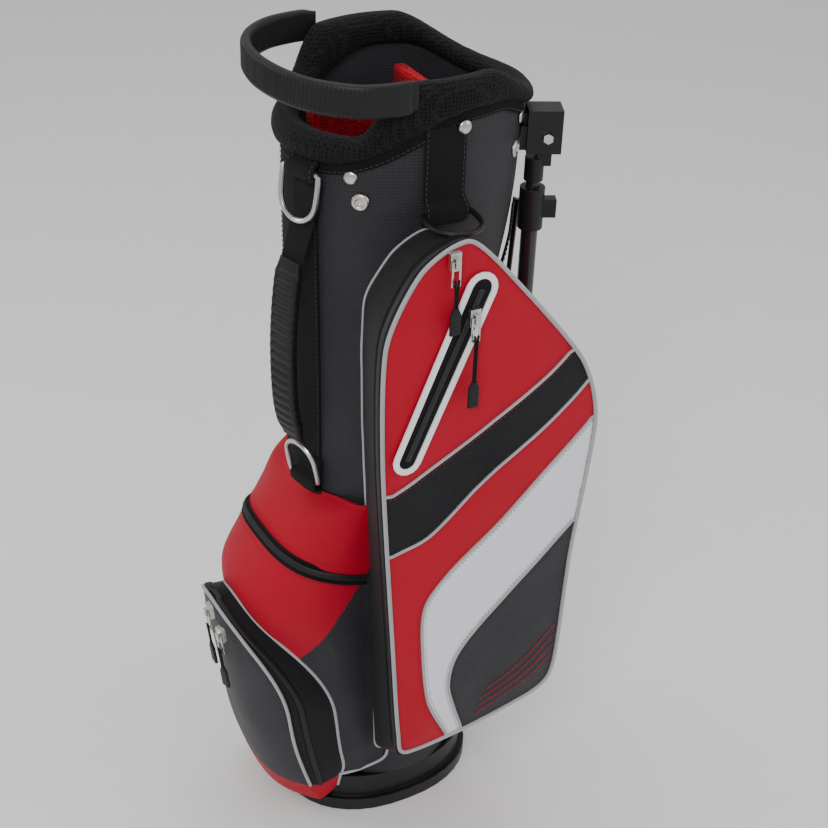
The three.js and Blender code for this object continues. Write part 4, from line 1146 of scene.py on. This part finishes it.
def makeBallPocket(backRest, backShaped):
    phi = np.linspace(-math.pi / 2, math.pi / 2, 49)
    share = np.linspace(0, 1, 34)[:, None]
    low, width = ballPocket["low"], ballPocket["halfWidth"]
    y = width * np.sin(phi) + 0 * share
    top = ballPocket["shoulder"] + (ballPocket["high"] - ballPocket["shoulder"]) * np.cos(phi)
    z = low + share * (top - low)
    x = -reachAt(ballPocket, z) + ballPocket["sideFall"] * np.abs(y / width) ** 2.4
    panel = np.stack([x, y, z], -1)
    rows, columns = panel.shape[:2]
    index = np.arange(rows * columns).reshape(rows, columns)
    arch = np.concatenate([index[:-1, 0], index[-1], index[:-1, -1][::-1]])
    ring = np.concatenate([arch, index[0, 1:-1][::-1]])
    rim = panel.reshape(-1, 3)[ring]

    # where the side wall lands: on the pocket behind, and on the moulded base at the foot
    side = np.clip(np.abs(rim[:, 1] * 1.02) / spinePocket["halfWidth"], 0, 0.985)
    theta = np.arcsin(side ** 1.5) * np.sign(rim[:, 1])
    landing = spineSkin(theta, np.maximum(rim[:, 2], 40))
    landing = carried(landing, backRest, backShaped)
    cup = np.stack([-98 * np.sqrt(1 - (0.93 * rim[:, 1] / 84) ** 2), 0.93 * rim[:, 1], rim[:, 2] + 3], -1)
    share = ease(34, 62, rim[:, 2])[:, None]
    landing = cup + share * (landing - cup)
    landing = np.stack([evened(column, 7) for column in landing.T], -1)
    steps = np.linspace(0, 1, ballPocket["wallRows"] + 1)[1:, None, None]
    wall = rim + steps * (landing - rim)
    wall += 2.0 * np.sin(math.pi * steps) * outOf(rim * [0.3, 1, 0]) * (np.abs(rim[:, 1:2]) > 8)
    count = len(ring)
    rings = np.vstack([ring, rows * columns + np.arange(len(wall) * count).reshape(-1, count)])
    faces = gridFaces(rows, columns)
    panelFaces = len(faces)
    for r in range(len(wall)):
        for c in range(count):
            d = (c + 1) % count
            faces.append([rings[r][c], rings[r][d], rings[r + 1][d], rings[r + 1][c]])
    points = np.vstack([panel.reshape(-1, 3), wall.reshape(-1, 3)])
    cloth = np.vstack([gridCloth(panel), np.stack([np.tile(rim[:, 2] + rim[:, 1], len(wall)),
                                                  np.repeat(np.arange(len(wall)) * 4.0, count)], -1)])
    kind = [0] * panelFaces + [1] * (len(faces) - panelFaces)
    colours = [finishes["charcoal"], finishes["panelBlack"], finishes["red"]]
    piece = meshFrom("ballPocket", points, faces, colours, cloth, kind, slot="ripstop")
    cutAlong(piece, (0, 0, ballPocket["redTop"]), (0, 0, 1))
    for face in piece.data.polygons:
        if face.center[2] / mm < ballPocket["redTop"]:
            face.material_index = 2
    rest = pointsOf(piece)
    held = np.zeros(len(rest))
    held[rings[0]] = 0.9
    held[rings[-1]] = 1
    zipSpot = (rest[:, 2] > 215) & (np.abs(rest[:, 1] + 18) < 26)
    held[zipSpot & (held == 0)] = 0.9
    shaped = padOut(piece, ballPocket["pressure"], ballPocket["cap"], held=held)
    shaped = creased(shaped, np.array([-1.0, 0, 0]) * (1 - held)[:, None], ballPocket["crease"])
    movePoints(piece, shaped)
    refine(piece)
    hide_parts("ball_pocket")

    front = smoothLine(shaped[arch], 2)
    front = front[front[:, 2] > ballPocket["redTop"]]
    piping("ballPanelPiping", front + [-0.4, 0, 0], (-1, 0, 0), ballPocket["pipe"])
    back = smoothLine(shaped[rings[-1][:len(arch)]], 2)
    piping("ballSeamPiping", back, (-1, 0, 0), ballPocket["pipe"])
    track = smoothLine(shaped[rings[3][:len(arch)]], 0.45)
    track = track[track[:, 2] > ballPocket["redTop"]]
    away = track - [-110, 0, 120]
    away = unit(away * [0.15, 1, 1])
    zipRun("ballZip", track + away * 0.7, away, width=5.0, tape=0)
    inset = index[3:-3, 3:-3]
    loop = np.concatenate([inset[:-1, 0], inset[-1], inset[:-1, -1][::-1]])
    seam = smoothLine(shaped[loop], 2)
    stitches("ballPanelStitch", seam + [-0.5, 0, 0], (-1, 0, 0), **seamThread)


# straps sewn to the bag

straps = {
    "towel": {"angle": 265, "half": 17, "thick": 1.7,
              "line": [(1.4, 684), (1.6, 650), (1.8, 632), (4, 626), (9, 622.5), (11, 617), (9, 611),
                       (4.5, 607.5), (1.5, 612)]},
    "ringTab": {"angle": 196, "half": 13.5, "thick": 1.8,
                "line": [(1.4, 668), (1.8, 655), (6, 650), (10.2, 648.5), (11.4, 644), (10.2, 639.5),
                         (6, 638), (3, 634), (2.0, 622)]},
    "legFlap": {"angle": 327.5, "half": 8.5, "thick": 1.8, "line": [(1.4, 592), (3.6, 560), (2.6, 528)]},
}
handle = {
    "angle": 196,
    "top": [(2.6, 632), (3.2, 618), (5, 602), (11, 587), (18, 568)],
    "end": [(20.4, 416), (18.6, 409), (16.6, 404.5)],
    "grip": [(18.4, 572), (24, 545), (28, 510), (29, 475), (27, 440), (20, 411)],
    "gripSize": (26, 8), "ribPitch": 8,
}


def makeStraps():
    for name, node in (("towel", "towel_strap"), ("ringTab", "upper_ring_tab"), ("legFlap", "leg_strap")):
        plan = straps[name]
        piece = strapOnBag(name + "Strap", plan["angle"], plan["half"], plan["line"], plan["thick"])
        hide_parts(node)
    plan = straps["ringTab"]
    lowest, highest = boxOf("lower_ring_tab")
    middle = (lowest[2] + highest[2]) / 2
    upper = (boxOf("upper_ring_tab")[0][2] + boxOf("upper_ring_tab")[1][2]) / 2 + 1
    line = [(offset, middle - (z - upper)) for offset, z in plan["line"]]
    piece = strapOnBag("lowerRingTabStrap", plan["angle"], plan["half"], line, plan["thick"])
    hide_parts("lower_ring_tab")


def handleLine(line, step):
    # a line out from the bag's spine side, in the handle's own upright plane
    angle = math.radians(handle["angle"])
    flat = smoothLine(line, step)
    spot = bagPoint(angle, flat[:, 1])
    out = unit(spot * [1, 1, 0])
    return spot + out * flat[:, :1], out


def makeHandle():
    for name, node, key, width in (("handleStrapTop", "handle_strap_top", "top", 25),
                                   ("handleStrapEnd", "handle_strap_end", "end", 21)):
        path, out = handleLine(handle[key], 1.5)
        section = roundedSection(width, 2, 0.8)
        piece = sweep(name, path, out, section, finishes["webbing"], slot="black_webbing")
        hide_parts(node)
    path, out = handleLine(handle["grip"], 0.9)
    travel = lengthAlong(path)
    ends = ease(0, 14, travel) * ease(0, 14, travel[-1] - travel)
    rib = (0.5 + 0.5 * np.cos(travel * 2 * math.pi / handle["ribPitch"])) ** 3
    scallop = 0.5 - 0.5 * np.cos(travel * 2 * math.pi / handle["ribPitch"])
    width, thick = handle["gripSize"]

    def gripShape(ring):
        ring[..., 0] *= (0.84 + 0.16 * ends + 0.05 * scallop * ends)[:, None]
        outer = ring[..., 1] > thick * 0.3
        inner = np.abs(ring[..., 0]) < width * 0.36
        ring[..., 1] *= (0.6 + 0.4 * ends)[:, None]
        ring[..., 1] -= outer * inner * (rib * ends)[:, None] * 1.5
        ring[..., 1] += outer * (1 - (ring[..., 0] / width * 2) ** 2) * 0.8
        return ring

    section = bandSection(width, thick, 2.6, 46)
    piece = sweep("handleGrip", path, out, section, finishes["rubber"], shape=gripShape, slot="black_rubber")
    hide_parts("handle_grip")


# rivets and snaps

fastenerShapes = {
    "rivet": [(0, 2.3), (2, 2.2), (3.8, 1.8), (5.1, 1.1), (5.7, 0.3), (5.7, -0.4)],
    "snap": [(0, 0.7), (2.0, 0.7), (2.5, 0.4), (3.0, 0.5), (3.5, 2.0), (4.6, 2.5), (5.8, 2.4), (7.0, 1.5),
             (7.4, 0.3), (7.4, -0.4)],
}
fastenerSink = {"rivet": 0.1, "snap": 0.9}


def makeFasteners():
    for kind, places in (("rivet", (1, 2, 3)), ("snap", (1, 2))):
        for side in ("front", "back"):
            for number in places:
                name = f"{kind}_{side}_{number}"
                low, high = boxOf(name)
                centre = (low + high) / 2
                axis = bagNormal(angleOn(centre), centre[2])
                seat = centre - axis * fastenerSink[kind]
                piece = lathe(name.replace("_", "") + "Cap", fastenerShapes[kind], seat, axis,
                              finishes["nickel"], slot="nickel")
                refine(piece)
                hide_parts(name)


# zip pull tabs: a short cord with a moulded end

tabs = {
    "main_zip_tab": {"body": "main_pull", "top": (-22, -148, 611), "out": (0, -1, 0), "hang": (0, 0, -1),
                     "length": 41},
    "panel_zip_tab": {"body": "panel_pull", "top": (-4, -150.4, 562), "out": (0, -1, 0), "hang": (0, 0, -1),
                      "length": 58},
    "ball_zip_left_tab": {"body": "ball_left_pull", "top": (-164.5, -8, 238), "out": (-1, 0, -0.13),
                          "hang": (0.13, 0, -1), "length": 40},
    "ball_zip_right_tab": {"body": "ball_right_pull", "top": (-163.3, -28, 226),
                           "out": (-0.955, -0.27, -0.12), "hang": (0.13, 0, -1), "length": 40},
}
tabEnd = {"grip": 22, "rows": 24, "standOff": 7.1, "width": 9, "thickness": 3.1, "groovePitch": 4.5}


def makeTabs():
    for name, plan in tabs.items():
        out = unit(np.array(plan["out"], float))
        hang = np.array(plan["hang"], float)
        hang = unit(hang - out * (hang @ out))
        side = np.cross(hang, out)
        top = np.array(plan["top"], float) + out * tabEnd["standOff"]
        reach = plan["length"] + 20
        grip = tabEnd["grip"]
        for k, sign in enumerate((-1, 1)):
            cord = [top + hang * 14 + side * sign * 1.6, top + hang * 24 + side * sign * 0.9,
                    top + hang * (reach - grip + 2) + side * sign * 1.0]
            sweep(f"{name.replace('_', '')}Cord{k + 1}", smoothLine(cord, 1.5), out, circleSection(0.9, 8),
                  finishes["webbing"], body=plan["body"], slot="black_webbing")
        travel = np.linspace(0, grip, tabEnd["rows"])
        path = travel[:, None] * hang + top + hang * (reach - grip - 2)
        grow = ease(0, 6, travel)
        grooves = np.cos(travel * 2 * math.pi / tabEnd["groovePitch"]) > 0.5
        groove = 1 - 0.14 * grooves * (grow > 0.95)

        def tabShape(ring, grow=grow, groove=groove):
            ring[..., 0] *= (0.5 + 0.5 * grow)[:, None]
            ring[..., 1] *= ((0.75 + 0.25 * grow) * groove)[:, None]
            return ring

        section = roundedSection(tabEnd["width"], tabEnd["thickness"], 1.2)
        piece = sweep(name.replace("_", "") + "End", path, out, section, finishes["rubber"], shape=tabShape,
                      body=plan["body"], slot="black_rubber")
        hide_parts(name)


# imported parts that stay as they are, with their finishes

bothSides = ("near", "far")
zipNames = ("main_zip", "panel_zip", "ball_zip_left", "ball_zip_right")
dressed = {
    "nickel": ["upper_d_ring", "lower_d_ring"]
              + [f"{zipName}_{part}" for zipName in zipNames for part in ("slider", "puller")]
              + [f"hinge_screw_{side}" for side in bothSides] + ["lever_pin"],
    "plastic": ["towel_ring", "base_cup", "base_lever", "leg_bracket"]
               + [f"{part}_{side}" for part in ("leg_head", "rod_clamp") for side in bothSides],
    "powder": [f"{part}_{side}" for part in ("upper_leg", "lower_leg", "push_rod") for side in bothSides],
    "rubber": [f"leg_foot_{side}" for side in bothSides],
}
edgeRound = {"nickel": 0.25, "plastic": 0.9, "powder": 0.3, "rubber": 1.2}


def dressParts():
    for finish, names in dressed.items():
        for name in names:
            dressNode(name, finish, edgeRound[finish])


makeBallPocket(*makeSpinePocket())
print("spine pockets made")
makeStraps()
makeHandle()
makeFasteners()
makeTabs()
dressParts()
print("straps, handle, fasteners and packed parts finished")
